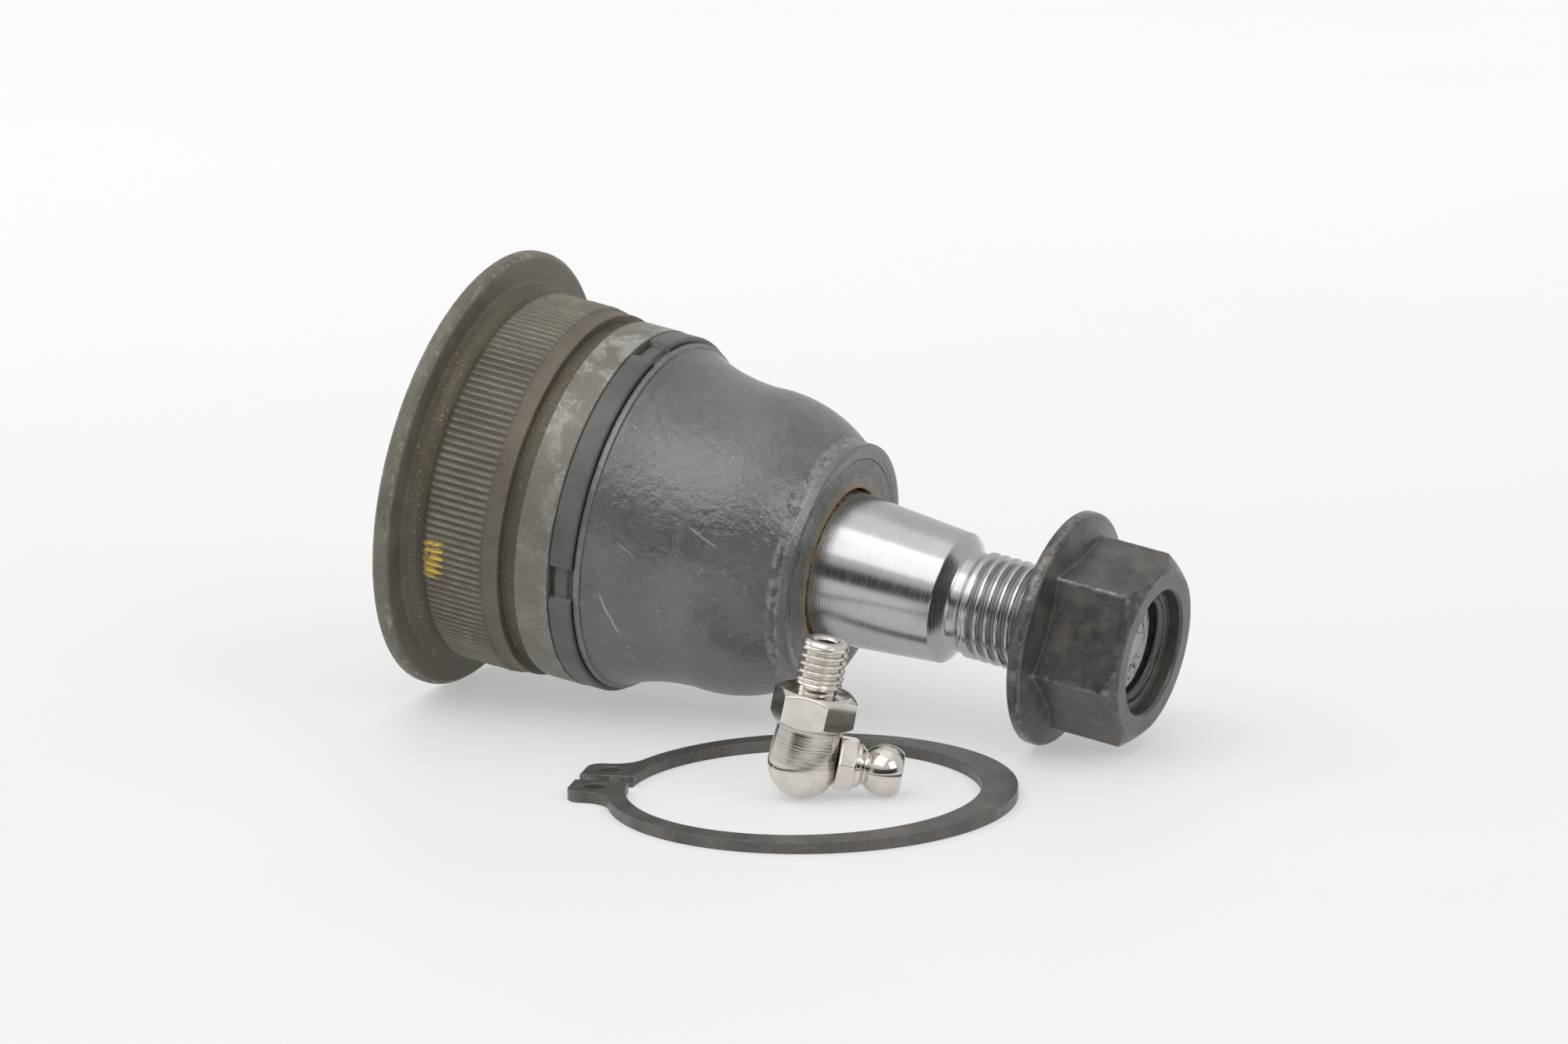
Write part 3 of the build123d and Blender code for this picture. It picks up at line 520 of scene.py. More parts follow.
def arc(start, middle, end, steps):
    """Points on the circle through three (station, radius) points, without the first one."""
    (ax, ay), (bx, by), (cx, cy) = start, middle, end
    turn = 2 * (ax * (by - cy) + bx * (cy - ay) + cx * (ay - by))
    a, b, c = ax**2 + ay**2, bx**2 + by**2, cx**2 + cy**2
    x = (a * (by - cy) + b * (cy - ay) + c * (ay - by)) / turn
    y = (a * (cx - bx) + b * (ax - cx) + c * (bx - ax)) / turn
    low, high = np.arctan2(ay - y, ax - x), np.arctan2(cy - y, cx - x)
    sweep = (high - low + np.pi) % (2 * np.pi) - np.pi
    reach = np.hypot(ax - x, ay - y)
    turns = low + sweep * np.arange(1, steps + 1) / steps
    return [(x + reach * np.cos(t), y + reach * np.sin(t)) for t in turns]


slope_place = ((ridge_start + ridge_length + waist[0]) / 2, waist[1] + (mouth_radius - waist[1]) / 4)
bead_start = boot_end - bead_width
root_part = softened(
    [(root_start + 0.08, bead_inner), (root_start, bead_outer)]
    + [(ridge_start, bead_outer - 0.1), (ridge_start, ridge_radius)]
    + [(ridge_start + ridge_length, ridge_radius), (ridge_start + ridge_length, mouth_radius)]
    + [(ridge_start + ridge_length + 0.6, mouth_radius - 0.1)],
    0.18,
)
dome = arc((ridge_start + ridge_length, mouth_radius), slope_place, waist, 26)[2:]
dome += arc(waist, brow, (bead_start, bead_radius - 0.5), 44)
bead = softened(
    [dome[-1], (bead_start + 0.1, bead_radius), (boot_end - 0.1, bead_radius - 0.05)]
    + [(boot_end, 15.2), (boot_end - 0.15, 14.6), (boot_end - 0.2, pocket_radius)]
    + [(pocket_floor, pocket_radius), (pocket_floor, bore_at_lip), (pocket_floor - wall, bore_at_lip)]
    + [(pocket_floor - wall, inner_mouth)],
    0.3,
    6,
)[1:]
inner_brow, inner_waist = (brow[0] - 1.1, brow[1] - wall), (waist[0], waist[1] - wall)
inside = arc((pocket_floor - wall, inner_mouth), inner_brow, inner_waist, 24)
inside += arc(inside[-1], (slope_place[0], slope_place[1] - wall), (26.0, bead_inner), 16)
boot = spun("boot_skin", root_part + dome + bead + inside, spokes=300, looped=True)
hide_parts("boot")
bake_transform(boot)

# Dark grey with a leathery grain, a soft sheen, pale flecks, dry rubbed edges and a thin painted highlight
# along the ridge
mouth_oil, dry_rubber_and_highlight, crack_black = (0.050, 0.050, 0.044), (0.46, 0.46, 0.45), (0.040, 0.040, 0.036)
rubber = Finish(bpy.data.materials.new("boot_rubber"))
station, radius, turn = around_joint(rubber)
clouds = rubber.noise(11.0, 4.0, 0.6)
leather = rubber.noise(1.25, 4.0, 0.6)
flecks = rubber.noise(0.55, 0.5).between(0.785, 0.81)
wear = rubber.noise(1.7, 5.0, 0.68)
# Four scratches, each between two (station, turn) places
per_degree = np.radians(1.0) * 21.0
cuts = 0.0
for first, last, strength in (
    ((29.1, 13.5), (31.3, 29.3), 0.9),
    ((39.5, -18.3), (43.6, -13.9), 0.5),
    ((30.9, -6.3), (32.9, -3.0), 0.4),
    ((31.4, 40.1), (32.8, 45.9), 0.4),
):
    run, climb = last[0] - first[0], (last[1] - first[1]) * per_degree
    length = np.hypot(run, climb)
    beyond, around = station - first[0], (turn - first[1]) * per_degree
    travelled = (beyond * run + around * climb) / length
    aside = (beyond * climb - around * run) / length + (wear - 0.5) * 0.6
    line = travelled.band(0.0, length, 0.5) * (1 - aside.math("ABSOLUTE").between(0.05, 0.15))
    cuts = cuts + line * strength
shade = (clouds * 0.7 + leather * 0.3).between(0.34, 0.66)
tone = rubber.mix(shade, (0.052, 0.052, 0.050), (0.094, 0.095, 0.091))
mouth = station.between(52.3, 52.9) + (1 - radius.between(14.6, 15.0)) * station.between(50.0, 51.2)
rings = (radius * 9.0).math("SINE") * 0.5 + 0.5
tone = rubber.mix((mouth * (0.10 + rings * 0.45)).clamped(), tone, mouth_oil)
dry = station.band(50.3, 51.8, 0.30) * wear.between(0.43, 0.56)
cracks = station.band(49.9, 51.6, 0.25) * rubber.noise(2.4, 3.0, 0.6).between(0.55, 0.60)
dry = dry + station.band(44.0, 51.0, 2.5) * wear.between(0.66, 0.74) * 0.5
# A thin painted highlight along the top of the ridge beside the collar
ridge = station.band(26.1, 27.0, 0.15) * radius.between(22.7, 22.85) * wear.between(0.35, 0.6)
dusty = station.band(38.0, 49.0, 2.0) * turn.band(-45.0, 20.0, 12.0) * wear.between(0.60, 0.72)
pale_marks_and_highlight = (dry * 0.38 + ridge * 0.10 + flecks * 0.5 + dusty * 0.25 + cuts * (0.3 + wear)).clamped()
tone = rubber.mix(pale_marks_and_highlight, tone, dry_rubber_and_highlight)
tone = rubber.mix(cracks * 0.55, tone, crack_black)
relief = leather * 0.7 + clouds * 0.2 + mouth * rings * 0.1 - cuts * 0.1 - cracks * 0.35
rubber.set(
    Base_Color=tone,
    Roughness=(0.28 + (clouds - 0.5) * 0.24 + dry * 0.2 - mouth * 0.05).clamped(),
    IOR=1.6,
    Specular_IOR_Level=1.0,
    Normal=rubber.bump(relief, 0.32),
)
boot.data.materials.append(rubber.made)

# ---------------------------------------------------------------- lip ring
# A flat washer turned from steel and left oily, moulded into the boot's mouth. Its bore wipes the
# shank, and a little rust has started where the two meet.
ring_start, ring_end = 51.4, 52.95
ring_outer, ring_inner, ring_seam = 14.19, 10.35, 12.0
lip_ring = spun(
    "lip_ring_skin",
    softened(
        [(ring_start, ring_seam), (ring_start, ring_outer), (ring_end - 0.12, ring_outer)]
        + [(ring_end - 0.02, 13.9), (ring_end - 0.25, 12.2), (ring_end, 11.0)]
        + [(ring_end, ring_inner), (ring_start, ring_inner), (ring_start, ring_seam)],
        0.15,
    ),
    spokes=240,
    looped=True,
)
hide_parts("lip_ring")
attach(lip_ring, "lip")

# Circular lathe lines under the oil, and rust towards the bore
rust_brown = (0.33, 0.22, 0.085)
wiper = Finish(bpy.data.materials.new("lip_ring_steel"))
radius = around_joint(wiper)[1]
lines = wiper.node("TexNoise", {"W": radius * 6.0, "Scale": 1.0, "Detail": 3.0}, noise_dimensions="1D")
stain = wiper.noise(1.6, 4.0, 0.65)
rust = (1 - radius.between(10.5, 11.7)) * stain.between(0.25, 0.55)
shade = (lines * 0.6 + stain * 0.4).between(0.3, 0.7)
tone = wiper.mix(shade, (0.105, 0.105, 0.095), (0.28, 0.28, 0.26))
tone = wiper.mix(rust * 0.7, tone, rust_brown)
wiper.set(
    Base_Color=tone,
    Metallic=0.5 - rust * 0.4,
    Roughness=0.35 + lines * 0.25,
    Normal=wiper.bump(lines, 0.05),
)
lip_ring.data.materials.append(wiper.made)

# ---------------------------------------------------------------- ball stud
# Forged steel: a polished ball, a ground taper that ends in a crisp edge above a short cone and a
# hollow corner, and a rolled M14 x 1.5 thread, whose end is left rough from the saw.
ball_station, ball_radius, neck_radius = 15.8, 13.5, 8.5
taper_end, taper_radius, taper_slope = 69.2, 8.55, 0.0844
thread_start, thread_radius, thread_pitch, thread_depth = 72.6, 6.95, 1.5, 0.82
ball_flat, neck_start, neck_stop, stud_end = 7.8, 26.3, 36.0, 93.6
hollow_corner = [(69.4, 8.35), (70.35, 7.2), (70.9, 6.6), (72.2, 6.5), (thread_start, 6.75)]


def on_ball(stations):
    """Points of the ball's outline at these stations."""
    return [(s, np.sqrt(ball_radius**2 - (s - ball_station) ** 2)) for s in stations]


def thread_rings(start, end, crest, pitch, depth, spokes, runin=1.0, runout=1.0, steps=12):
    """Rings of a helical thread; its depth fades in and out over the first and last turns."""
    rings = []
    turn = np.arange(spokes) / spokes
    for station in np.linspace(start, end, int((end - start) / pitch * steps) + 1):
        phase = (station / pitch - turn) % 1
        valley = np.clip(np.abs(2 * phase - 1) * 1.45 - 0.3, 0, 1)
        valley = valley**2 * (3 - 2 * valley)
        fade = np.clip((station - start) / runin, 0, 1) * np.clip((end - station) / runout, 0, 1)
        rings.append((station, crest - depth * valley * fade))
    return rings


stud_spokes = 144
taper_start = 43.0
taper_top = taper_radius + (taper_end - taper_start) * taper_slope
stud_rings = [(ball_flat, 0.0)]
stud_rings += softened([(ball_flat, 4.0), *on_ball([ball_flat, ball_flat + 0.3])], 0.3)
stud_rings += on_ball(np.linspace(8.3, 26.1, 60))
neck = [(neck_start, neck_radius), (neck_stop, neck_radius), (taper_start, taper_top)]
stud_rings += softened([*neck, (46.0, taper_top - 0.25)], 1.2)
ground_stations = (*np.linspace(47.0, taper_end - 0.08, 30), taper_end - 0.03)
stud_rings += [(s, taper_radius + (taper_end - s) * taper_slope) for s in ground_stations]
stud_rings += [(taper_end + 0.06, taper_radius - 0.02), (taper_end + 0.12, taper_radius - 0.07)]
stud_rings += softened(hollow_corner, 0.3)
stud_rings += thread_rings(
    thread_start + 0.3, stud_end - 0.9, thread_radius, thread_pitch, thread_depth, stud_spokes, 1.2
)
stud_rings += [(stud_end - 0.25, 6.3), (stud_end - 0.05, 6.05), (stud_end, 5.8)]
chance = np.random.default_rng(12)
for radius in (5.0, 4.2, 3.4, 2.6, 1.9, 1.2, 0.6):
    rough = chance.normal(0, 0.05, stud_spokes)
    rough = (rough + np.roll(rough, 1) + np.roll(rough, -1) + np.roll(rough, 2)) / 2
    stud_rings.append((stud_end - 0.12 + np.clip(rough, -0.12, 0.11), radius))
stud_rings.append((stud_end - 0.1, 0.0))
stud = spun("ball_stud_skin", stud_rings, spokes=stud_spokes)
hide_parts("ball_stud")
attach(stud, "stud")

# Bright ground steel with fine circular lines, oil at the lip ring, painted shade in the thread's roots
# and a paler, pitted sawn end
sawn_steel, pit_and_root_shade, rusty_oil = (0.74, 0.74, 0.72), (0.13, 0.125, 0.115), (0.40, 0.27, 0.11)
steel = Finish(bpy.data.materials.new("ground_steel"))
station, radius, turn = around_joint(steel)
banding = steel.node("TexNoise", {"W": station * 7.0, "Scale": 1.0, "Detail": 5.0}, noise_dimensions="1D")
# Grinding lines that run round the shank for a few millimetres each
scratch_place = steel.node("CombineXYZ", {"X": station * 9.0, "Y": turn * 0.05, "Z": radius * 0.2})
ground = steel.node("TexNoise", {"Vector": scratch_place, "Scale": 1.0, "Detail": 3.0})
smears = steel.noise(5.0, 4.0, 0.6)
threads = station.between(71.0, 72.6)
roots = threads * (1 - radius.between(6.15, 6.75))
end_face = station.between(93.2, 93.35)
saw = steel.noise(0.5, 4.0, 0.7)
oil = station.band(51.0, 53.1, 0.3) * steel.noise(1.1, 4.0, 0.7).between(0.38, 0.62)
spots = steel.noise(1.1, 3.0, 0.6).between(0.72, 0.76)
shade = smears.between(0.35, 0.7) * 0.4 + ground.between(0.32, 0.68) * 0.6
tone = steel.mix(shade, (0.46, 0.455, 0.46), (0.55, 0.545, 0.55))
crack = steel.noise(2.6, 2.0, 0.5, twist=1.0).band(0.470, 0.500, 0.012)
tone = steel.mix(end_face, tone, sawn_steel)
pitted = end_face * (crack + 1 - saw.between(0.28, 0.40)) * 0.9
# The thread's roots get painted shade; the sawn end's pits and crack are dark
tone = steel.mix((roots * 0.4 + pitted).clamped(), tone, pit_and_root_shade)
tone = steel.mix((oil * 0.85 + spots * 0.25).clamped(), tone, rusty_oil)
satin = 0.10 + banding * 0.06 + ground.between(0.3, 0.7) * 0.09 + smears * 0.04
steel.set(
    Base_Color=tone,
    Metallic=(1.0 - oil * 0.6 - end_face * 0.8).clamped(),
    Roughness=(satin + end_face * 0.3 + roots * 0.15).clamped(),
    Normal=steel.bump(banding * (1 - end_face) + saw * end_face * 14.0, 0.010),
)
stud.data.materials.append(steel.made)

# ---------------------------------------------------------------- flange nut
# Cold forged in one piece from steel and phosphated dark: a hexagon on a cone flange. Its free end
# is recessed round the stud and shows the last turns of the thread.
nut_start, nut_end, nut_rim = 83.5, 97.2, 15.25
across_flats, corner_turn, face_radius, crown_slope = 22.0, 13.0, 10.7, 0.78
nut_bore, recess_radius, recess_depth = 7.02, 8.0, 1.9
nut_thread_radius, nut_thread_depth = 7.0, 0.68


def hexagon(across, turn, spokes, sharpness):
    """Radius of a hexagon with slightly rounded corners, for each spoke."""
    angle = np.arange(spokes) / spokes * 2 * np.pi - np.radians(turn) - np.pi / 6
    sides = [np.clip(np.cos(angle - side * np.pi / 3), 0.01, 1) / (across / 2) for side in range(6)]
    return sum(side**sharpness for side in sides) ** (-1 / sharpness)


def smooth_least(a, b, soft):
    """The lesser of two radii, blended where they are within soft of each other."""
    share = np.clip(0.5 + 0.5 * (b - a) / soft, 0, 1)
    return b * (1 - share) + a * share - soft * share * (1 - share)


nut_spokes = 720
six = hexagon(across_flats, corner_turn, nut_spokes, 170)
nut_rings = [(nut_start + 0.7, nut_bore), (nut_start, 7.9), (nut_start, 8.3)]
nut_rings += [(nut_start, nut_rim - 1.1), (nut_start + 0.08, nut_rim - 0.5)]
nut_rings += [(nut_start + 0.3, nut_rim - 0.15), (nut_start + 0.5, nut_rim), (nut_start + 1.3, nut_rim)]
cone_foot, cone_foot_radius, cone_slope = nut_start + 2.1, nut_rim - 0.75, 0.34
rim_top, rim_side = (nut_start + 1.35, nut_rim), (nut_start + 1.88, nut_rim - 0.22)
nut_rings += arc(rim_top, rim_side, (cone_foot, cone_foot_radius), 7)
cone_stations = np.linspace(cone_foot + 0.02, 87.6, 30)
flat_stations = np.linspace(87.9, 92.0, 6)
crown_stations = np.linspace(92.3, nut_end, 48)
for station in (*cone_stations, *flat_stations, *crown_stations):
    cone = cone_foot_radius - (station - cone_foot) / cone_slope
    crown = face_radius + (nut_end - station) / crown_slope
    body = smooth_least(six, np.full(nut_spokes, crown), 0.12)
    nut_rings.append((station, -smooth_least(-body, -np.full(nut_spokes, cone), 0.5)))
last = np.minimum(nut_rings[-1][1], face_radius - 0.1)
nut_rings += [(nut_end, last - 0.12), (nut_end, last - 0.6), (nut_end, 8.9)]
recess_floor = nut_end - recess_depth
nut_rings += softened(
    [(nut_end, 8.6), (nut_end, 8.4), (nut_end - 0.35, recess_radius + 0.1)]
    + [(recess_floor, recess_radius), (recess_floor, nut_thread_radius)],
    0.12,
)
inner_thread = thread_rings(
    stud_end + 0.08, nut_end - 2.0, nut_thread_radius, thread_pitch, nut_thread_depth, nut_spokes, 0.3, 0.3
)
nut_rings += inner_thread[::-1]
nut_rings += [(stud_end, nut_bore), (nut_start + 0.8, nut_bore)]
nut = spun("flange_nut_skin", nut_rings, spokes=nut_spokes, looped=True)
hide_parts("flange_nut")
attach(nut, "nut")

# Dark phosphate with brown smudges, lighter in small knocks and along its edges, which also carry a
# painted highlight, and painted shade in the recess
smudge_brown, worn_steel_and_highlight, recess_shade_black = (0.165, 0.140, 0.112), (0.50, 0.49, 0.48), (0.035, 0.034, 0.030)
black, clouds, grain, tone = phosphate("phosphated_nut", (0.054, 0.054, 0.053), (0.108, 0.107, 0.105))
station, radius, turn = around_joint(black)
knocks = black.noise(1.3, 5.0, 0.7)
# Bright knocks along the hexagon's corners, round its crown and on the flange's rim; along the corners and
# the crown they also serve as a painted highlight
corner = ((turn - corner_turn) * np.radians(6.0)).math("COSINE").between(0.975, 0.997)
corner = corner * radius.between(11.5, 12.2) * station.between(85.6, 86.4)
crown_reach = face_radius + nut_end / crown_slope
crown_edge_highlight = (radius + station * (1 / crown_slope)).band(crown_reach - 0.35, crown_reach + 0.1, 0.12)
rim = station.band(84.2, 85.4, 0.3) * radius.between(14.7, 15.1)
edges = corner + crown_edge_highlight * 0.4
smudges = black.noise(3.2, 4.0, 0.65)
specks = black.noise(0.45, 1.0).between(0.735, 0.765)
worn = ((edges + rim * 0.8) * knocks.between(0.45, 0.58) + specks * 0.7).clamped()
recess = station.between(93.5, 96.0) * (1 - radius.between(7.9, 8.15))
tone = black.mix(smudges.between(0.42, 0.66) * 0.55, tone, smudge_brown)
tone = black.mix(worn * 0.32, tone, worn_steel_and_highlight)
# Painted shade darkens the recess round the stud's end
tone = black.mix(recess * 0.25, tone, recess_shade_black)
black.set(
    Base_Color=tone,
    Metallic=0.45 + worn * 0.3,
    Roughness=(0.28 + (clouds - 0.5) * 0.22 + (smudges - 0.5) * 0.25 - recess * 0.16).clamped(),
    Normal=black.bump(grain * 0.5 + clouds * 0.3 + knocks * 0.2, 0.05),
)
nut.data.materials.append(black.made)

# ---------------------------------------------------------------- snap ring
# Stamped from spring steel strip and phosphated: a band that is deepest opposite its two ears,
# each with a hole for the pliers.
ring_centre = Vector(mounts["snap_ring_bore"]["pos_m"])
snap_turn = np.radians(193.3)
snap_inner, snap_outer, snap_offset, snap_gap = 22.25, 25.7, 1.1, 2.4
ear_reach, ear_width, ear_round, ear_root = 29.1, 5.6, 1.9, 4.0
ear_hole, hole_reach = 1.25, 25.85
snap_round = 0.13
snap_thickness = 1.5
ear_side = snap_gap / 2 + ear_width
gap_turn = np.arcsin(snap_gap / 2 / snap_inner)
# The hollow corner between an ear and the ring's outer edge
root_y = ear_side + ear_root
root_x = np.sqrt((snap_outer + ear_root) ** 2 - root_y**2) - snap_offset
root_turn = np.arctan2(root_y, root_x + snap_offset)
half = [(snap_inner * np.cos(t), snap_inner * np.sin(t)) for t in np.linspace(np.pi, gap_turn, 100)]
half.append((ear_reach, snap_gap / 2))
for t in np.linspace(0, np.pi / 2, 9):
    half.append((ear_reach - ear_round * (1 - np.cos(t)), ear_side - ear_round * (1 - np.sin(t))))
for t in np.linspace(1.5 * np.pi, np.pi + root_turn, 14):
    half.append((root_x + ear_root * np.cos(t), root_y + ear_root * np.sin(t)))
for t in np.linspace(root_turn, np.pi, 110)[1:]:
    half.append((snap_outer * np.cos(t) - snap_offset, snap_outer * np.sin(t)))
outline = half + [(x, -y) for x, y in half[-2:0:-1]]
flat = bpy.data.curves.new("snap_ring_outline", "CURVE")
flat.dimensions = "2D"
flat.fill_mode = "BOTH"
flat.extrude = (snap_thickness / 2 - snap_round) * mm
flat.bevel_depth = snap_round * mm
flat.bevel_resolution = 2
flat.offset = -snap_round * mm
around_hole = np.linspace(0, 2 * np.pi, 48, endpoint=False)
holes = []
for middle in ((snap_gap + ear_width) / 2, -(snap_gap + ear_width) / 2):
    holes.append([(hole_reach + ear_hole * np.cos(t), middle + ear_hole * np.sin(t)) for t in around_hole])
for loop in (outline, *holes):
    line = flat.splines.new("POLY")
    line.points.add(len(loop) - 1)
    line.use_cyclic_u = True
    for point, (x, y) in zip(line.points, loop):
        point.co = (x * mm, y * mm, 0, 1)
pattern = bpy.data.objects.new("snap_ring_outline", flat)
bpy.context.scene.collection.objects.link(pattern)
bpy.context.view_layer.update()
ring_mesh = bpy.data.meshes.new_from_object(pattern)
bpy.data.objects.remove(pattern)
ring_mesh.transform(Matrix.Translation(ring_centre) @ Matrix.Rotation(snap_turn, 4, "Z"))
snap_ring = finished_mesh("snap_ring_skin", ring_mesh)
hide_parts("snap_ring")
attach(snap_ring, "ring")

# The housing's coating, smoother, over brushed faces
knocked_steel = (0.42, 0.40, 0.37)
oiled, clouds, grain, tone = phosphate("phosphated_ring", (0.083, 0.077, 0.070), (0.150, 0.139, 0.127))
brushed = oiled.noise(0.5, 3.0, 0.6)
knocks = oiled.noise(1.4, 4.0, 0.7)
pointed = oiled.node("NewGeometry", {}, output="Pointiness").between(0.52, 0.6)
edges = pointed * knocks.between(0.40, 0.62)
tone = oiled.mix(edges * 0.4 + knocks.between(0.68, 0.74) * 0.2, tone, knocked_steel)
oiled.set(
    Base_Color=tone,
    Metallic=0.4,
    Roughness=0.30 + brushed * 0.22,
    Normal=oiled.bump(grain * 0.6 + brushed * 0.4, 0.02),
)
snap_ring.data.materials.append(oiled.made)

# ---------------------------------------------------------------- elbow grease fitting
# Turned from hexagon bar and nickel plated: a round-bottomed body with lathe lines, a hexagon and
# an M6 thread above it, bored through from its open top.
fitting_up = Vector(mounts["fitting_thread"]["axis"]).normalized()
nipple_out = Vector(mounts["grease_nipple"]["axis"]).normalized()
hex_start, hex_end, thread_top = 5.15, 9.55, 16.15
neck_end = hex_end + 0.7
thread_middle = (neck_end + thread_top - 0.45) / 2
foot = Vector(mounts["fitting_thread"]["pos_m"]) - fitting_up * thread_middle * mm
side = fitting_up.cross(nipple_out)
elbow_frame = (foot, fitting_up, nipple_out, side)
elbow_radius, elbow_hex, elbow_hex_turn = 4.45, 9.5, 44.5
elbow_thread_radius, elbow_pitch, elbow_thread_depth, elbow_neck = 2.97, 1.0, 0.5, 2.55
flat_reach, passage_radius, bar_chamfer, bar_slope = 4.1, 1.3, 0.25, 0.6
elbow_spokes = 288
angle = np.arange(elbow_spokes) / elbow_spokes * 2 * np.pi
facing = np.cos(angle)
flat_side = np.where(facing > 0.5, flat_reach / np.maximum(facing, 0.5), 99.0)
elbow_rings = []
for turn in np.linspace(0, np.pi / 2, 28):
    dome_radius = np.minimum(elbow_radius * np.sin(turn), flat_side)
    elbow_rings.append((-elbow_radius * np.cos(turn), dome_radius))
for station in np.linspace(0.2, hex_start - 0.3, 26):
    waist_in = 0.40 * (station / hex_start) ** 1.6
    elbow_rings.append((station, np.minimum(elbow_radius - waist_in, flat_side)))
bar = hexagon(elbow_hex, elbow_hex_turn, elbow_spokes, 90)
under_stations = np.linspace(hex_start - 0.05, hex_start + 1.4, 18)
flat_stations = np.linspace(hex_start + 1.6, hex_end - 1.5, 8)
over_stations = np.linspace(hex_end - 1.4, hex_end, 20)
for station in (*under_stations, *flat_stations, *over_stations):
    under = elbow_hex / 2 - bar_chamfer + max(station - hex_start, 0) / bar_slope
    over = elbow_hex / 2 - bar_chamfer + (hex_end - station) / bar_slope
    body = smooth_least(bar, np.full(elbow_spokes, min(under, over)), 0.12)
    elbow_rings.append((station, body if station > hex_start else body - 0.2))
elbow_rings += softened(
    [(hex_end, 4.2), (hex_end, elbow_neck), (neck_end, elbow_neck), (neck_end + 0.2, 2.75)], 0.15
)
elbow_rings += thread_rings(
    neck_end + 0.25, thread_top - 0.5, elbow_thread_radius, elbow_pitch, elbow_thread_depth, elbow_spokes,
    0.7, 0.5,
)
elbow_rings += softened(
    [(thread_top - 0.4, 2.92), (thread_top, 2.5), (thread_top, 1.6)]
    + [(thread_top - 0.3, passage_radius), (thread_top - 1.0, passage_radius)],
    0.1,
)
elbow_rings += [(thread_top - 3.0, passage_radius), (6.0, passage_radius), (1.5, passage_radius)]
elbow_rings += [(1.2, 0.6), (1.2, 0.0)]
elbow = spun("fitting_body_skin", elbow_rings, on=elbow_frame, spokes=elbow_spokes)
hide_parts("fitting_body")
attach(elbow, "fitting")

# Bright warm nickel over lathe lines, a little duller on the thread
stroke_grey = (0.30, 0.28, 0.25)
nickel = Finish(bpy.data.materials.new("nickel_plate"))
clouds = nickel.noise(2.0, 3.0)
rise = nickel.in_mm.dot(fitting_up) - (foot / mm).dot(fitting_up)
lathe = nickel.node("TexNoise", {"W": rise * 5.0, "Scale": 1.0, "Detail": 3.0}, noise_dimensions="1D")
reach = nickel.in_mm.dot(nipple_out) - (foot / mm).dot(nipple_out)
turned = rise.band(0.0, 5.0, 0.6) * (1 - reach.between(flat_reach, flat_reach + 0.2))
threaded = rise.between(neck_end, neck_end + 0.3)
strokes = turned * (1 - lathe.between(0.36, 0.60))
tone = nickel.mix(clouds.between(0.3, 0.7), (0.64, 0.605, 0.55), (0.72, 0.685, 0.63))
tone = nickel.mix(strokes * 0.5, tone, stroke_grey)
nickel.set(
    Base_Color=tone,
    Metallic=1.0,
    Roughness=(0.07 + clouds * 0.05 + turned * lathe * 0.14 + threaded * 0.10).clamped(),
    Normal=nickel.bump(turned * lathe, 0.012),
)
elbow.data.materials.append(nickel.made)

# ---------------------------------------------------------------- nipple
# Turned from steel and nickel plated like the body, and fixed in the flat on its side: a small
# hexagon collar, a waisted neck and a ball-shaped head for the grease gun's coupler.
nipple_start, nipple_bore = 4.12, 1.35
nipple_reach, head_radius, tip_reach = 10.2, 3.3, 2.1
tip = nipple_reach + tip_reach
head_place = Vector(mounts["grease_nipple"]["pos_m"])
nipple_root = head_place - nipple_out * nipple_reach * mm
nipple_frame = (nipple_root, nipple_out, fitting_up, nipple_out.cross(fitting_up))
nipple_flats, nipple_turn = 6.5, 20.0
collar_hex = hexagon(nipple_flats, nipple_turn, elbow_spokes, 90)
collar_front = 6.42
nipple_rings = [(nipple_start, nipple_bore + 0.05), (nipple_start, collar_hex - 0.1)]
nipple_rings.append((nipple_start + 0.08, collar_hex))
for station in np.linspace(4.4, collar_front, 22):
    cone = 3.1 + (collar_front - station) / 0.55
    nipple_rings.append((station, smooth_least(collar_hex, np.full(elbow_spokes, cone), 0.12)))
neck = [(collar_front, 2.95), (collar_front, 2.75), (6.97, 2.75), (7.52, 2.2), (7.75, 2.2)]
nipple_rings += softened(neck, 0.15)
head_turns = np.linspace(-0.83, 0.62, 30)
nipple_rings += [(nipple_reach + head_radius * np.sin(t), head_radius * np.cos(t)) for t in head_turns]
mouth_edge = [(tip - 0.1, 2.62), (tip, 2.42), (tip, 1.1), (tip - 0.1, 0.8), (tip - 0.6, 0.8)]
nipple_rings += softened([*mouth_edge, (tip - 1.15, nipple_bore)], 0.12)
nipple_rings += [(6.0, nipple_bore), (nipple_start, nipple_bore)]
nipple = spun("fitting_nipple_skin", nipple_rings, on=nipple_frame, spokes=elbow_spokes, looped=True)
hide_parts("fitting_nipple")
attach(nipple, "fitting")
nipple.data.materials.append(nickel.made)

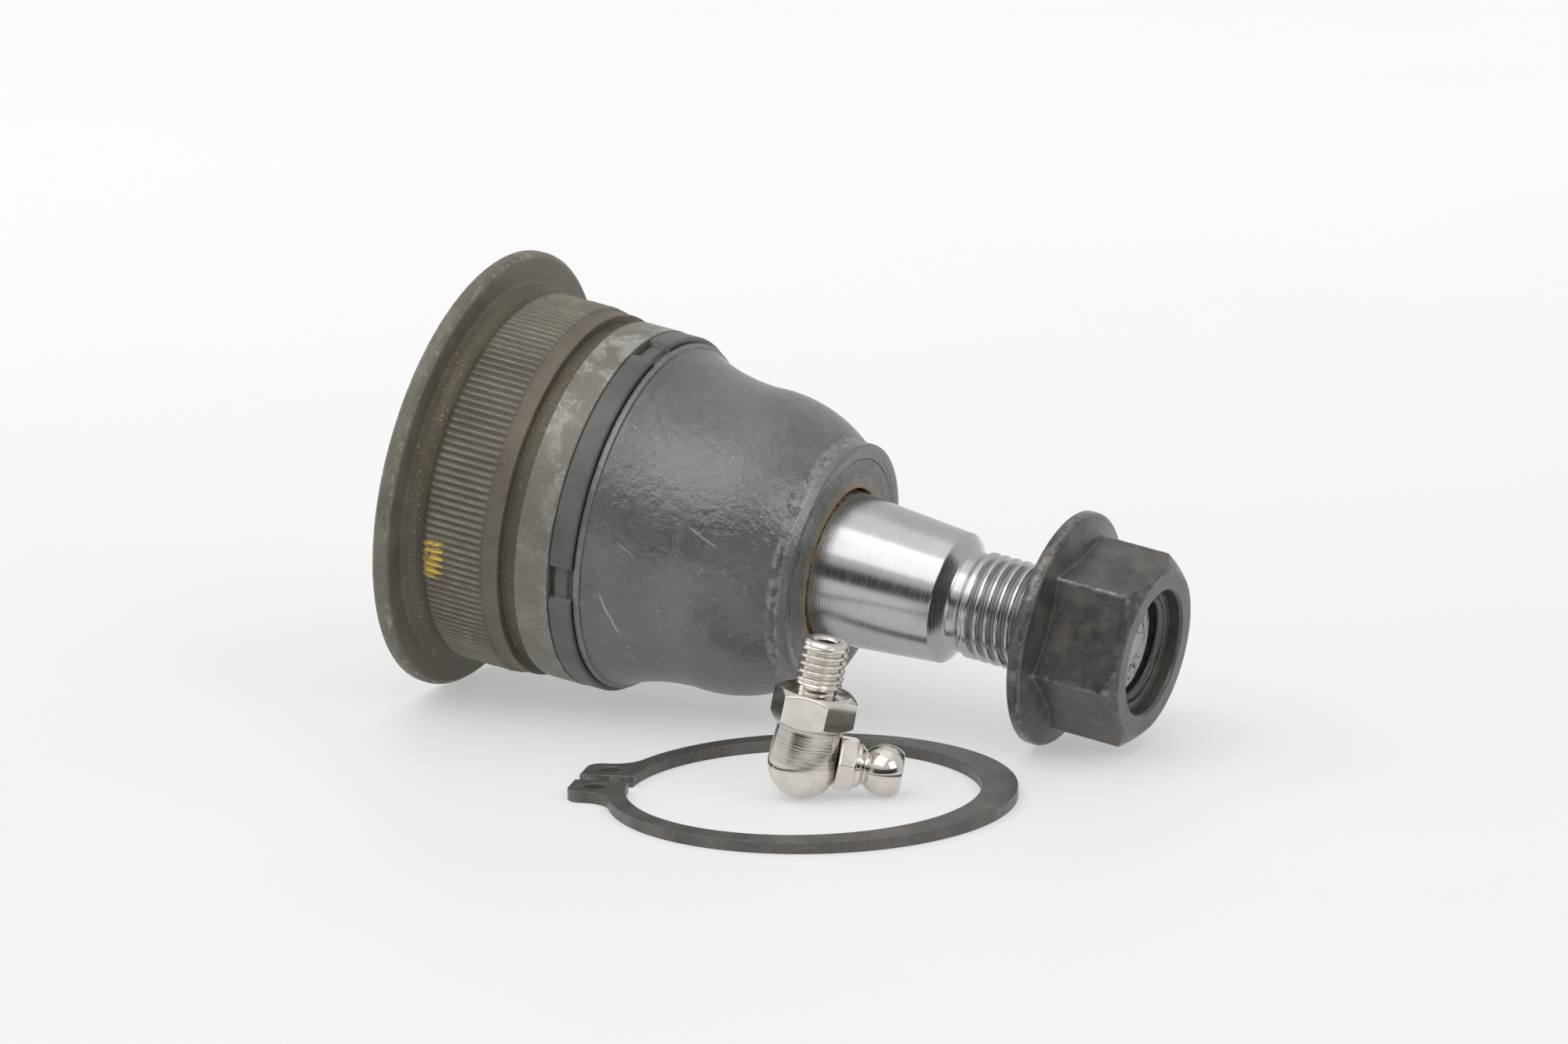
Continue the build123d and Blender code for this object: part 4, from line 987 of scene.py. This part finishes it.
# ---------------------------------------------------------------- inner pieces
# The pieces inside keep their plain solids and only get a finish: moulded acetal seats, blued spring
# steel, a zinc plated plate and check ball, and a cap pressed from sheet steel.
acetal = Finish(bpy.data.materials.new("acetal_seats"))
clouds = acetal.noise(7.0, 3.0)
tone = acetal.mix(clouds, (0.62, 0.60, 0.54), (0.70, 0.68, 0.62))
acetal.set(Base_Color=tone, Roughness=0.38 + clouds * 0.15)
blued = Finish(bpy.data.materials.new("blued_spring"))
clouds = blued.noise(4.0, 3.0)
tone = blued.mix(clouds, (0.10, 0.11, 0.13), (0.18, 0.19, 0.21))
blued.set(Base_Color=tone, Metallic=0.9, Roughness=0.3 + clouds * 0.15)
zinc = Finish(bpy.data.materials.new("zinc_plate"))
clouds = zinc.noise(6.0, 4.0)
zinc.set(
    Base_Color=zinc.mix(clouds, (0.46, 0.46, 0.45), (0.60, 0.60, 0.58)),
    Metallic=0.9,
    Roughness=0.3 + clouds * 0.2,
    Normal=zinc.bump(clouds, 0.03),
)
# The cap has drawn rings and a patchy film of oil
pressed = Finish(bpy.data.materials.new("pressed_cap"))
radius = around_joint(pressed)[1]
film = pressed.noise(9.0, 4.0, 0.6)
drawn = pressed.node("TexNoise", {"W": radius * 2.2, "Scale": 1.0, "Detail": 5.0}, noise_dimensions="1D")
shade = (film * 0.6 + drawn * 0.4).between(0.38, 0.62)
tone = pressed.mix(shade, (0.19, 0.185, 0.175), (0.27, 0.265, 0.25))
tone = pressed.mix(pressed.noise(1.5, 5.0, 0.7).between(0.60, 0.70) * 0.5, tone, (0.12, 0.095, 0.065))
pressed.set(
    Base_Color=tone,
    Metallic=0.85,
    Roughness=(0.30 + film * 0.25).clamped(),
    Normal=pressed.bump(drawn * 0.5 + film * 0.5, 0.03),
)
for finish, names in (
    (acetal, ("lower_bearing", "upper_bearing")),
    (blued, ("preload_spring", "check_spring")),
    (zinc, ("pressure_plate", "check_ball")),
    (pressed, ("end_cap",)),
):
    for name in names:
        solid = frame["nodes"][name]
        solid.data.materials.clear()
        solid.data.materials.append(finish.made)
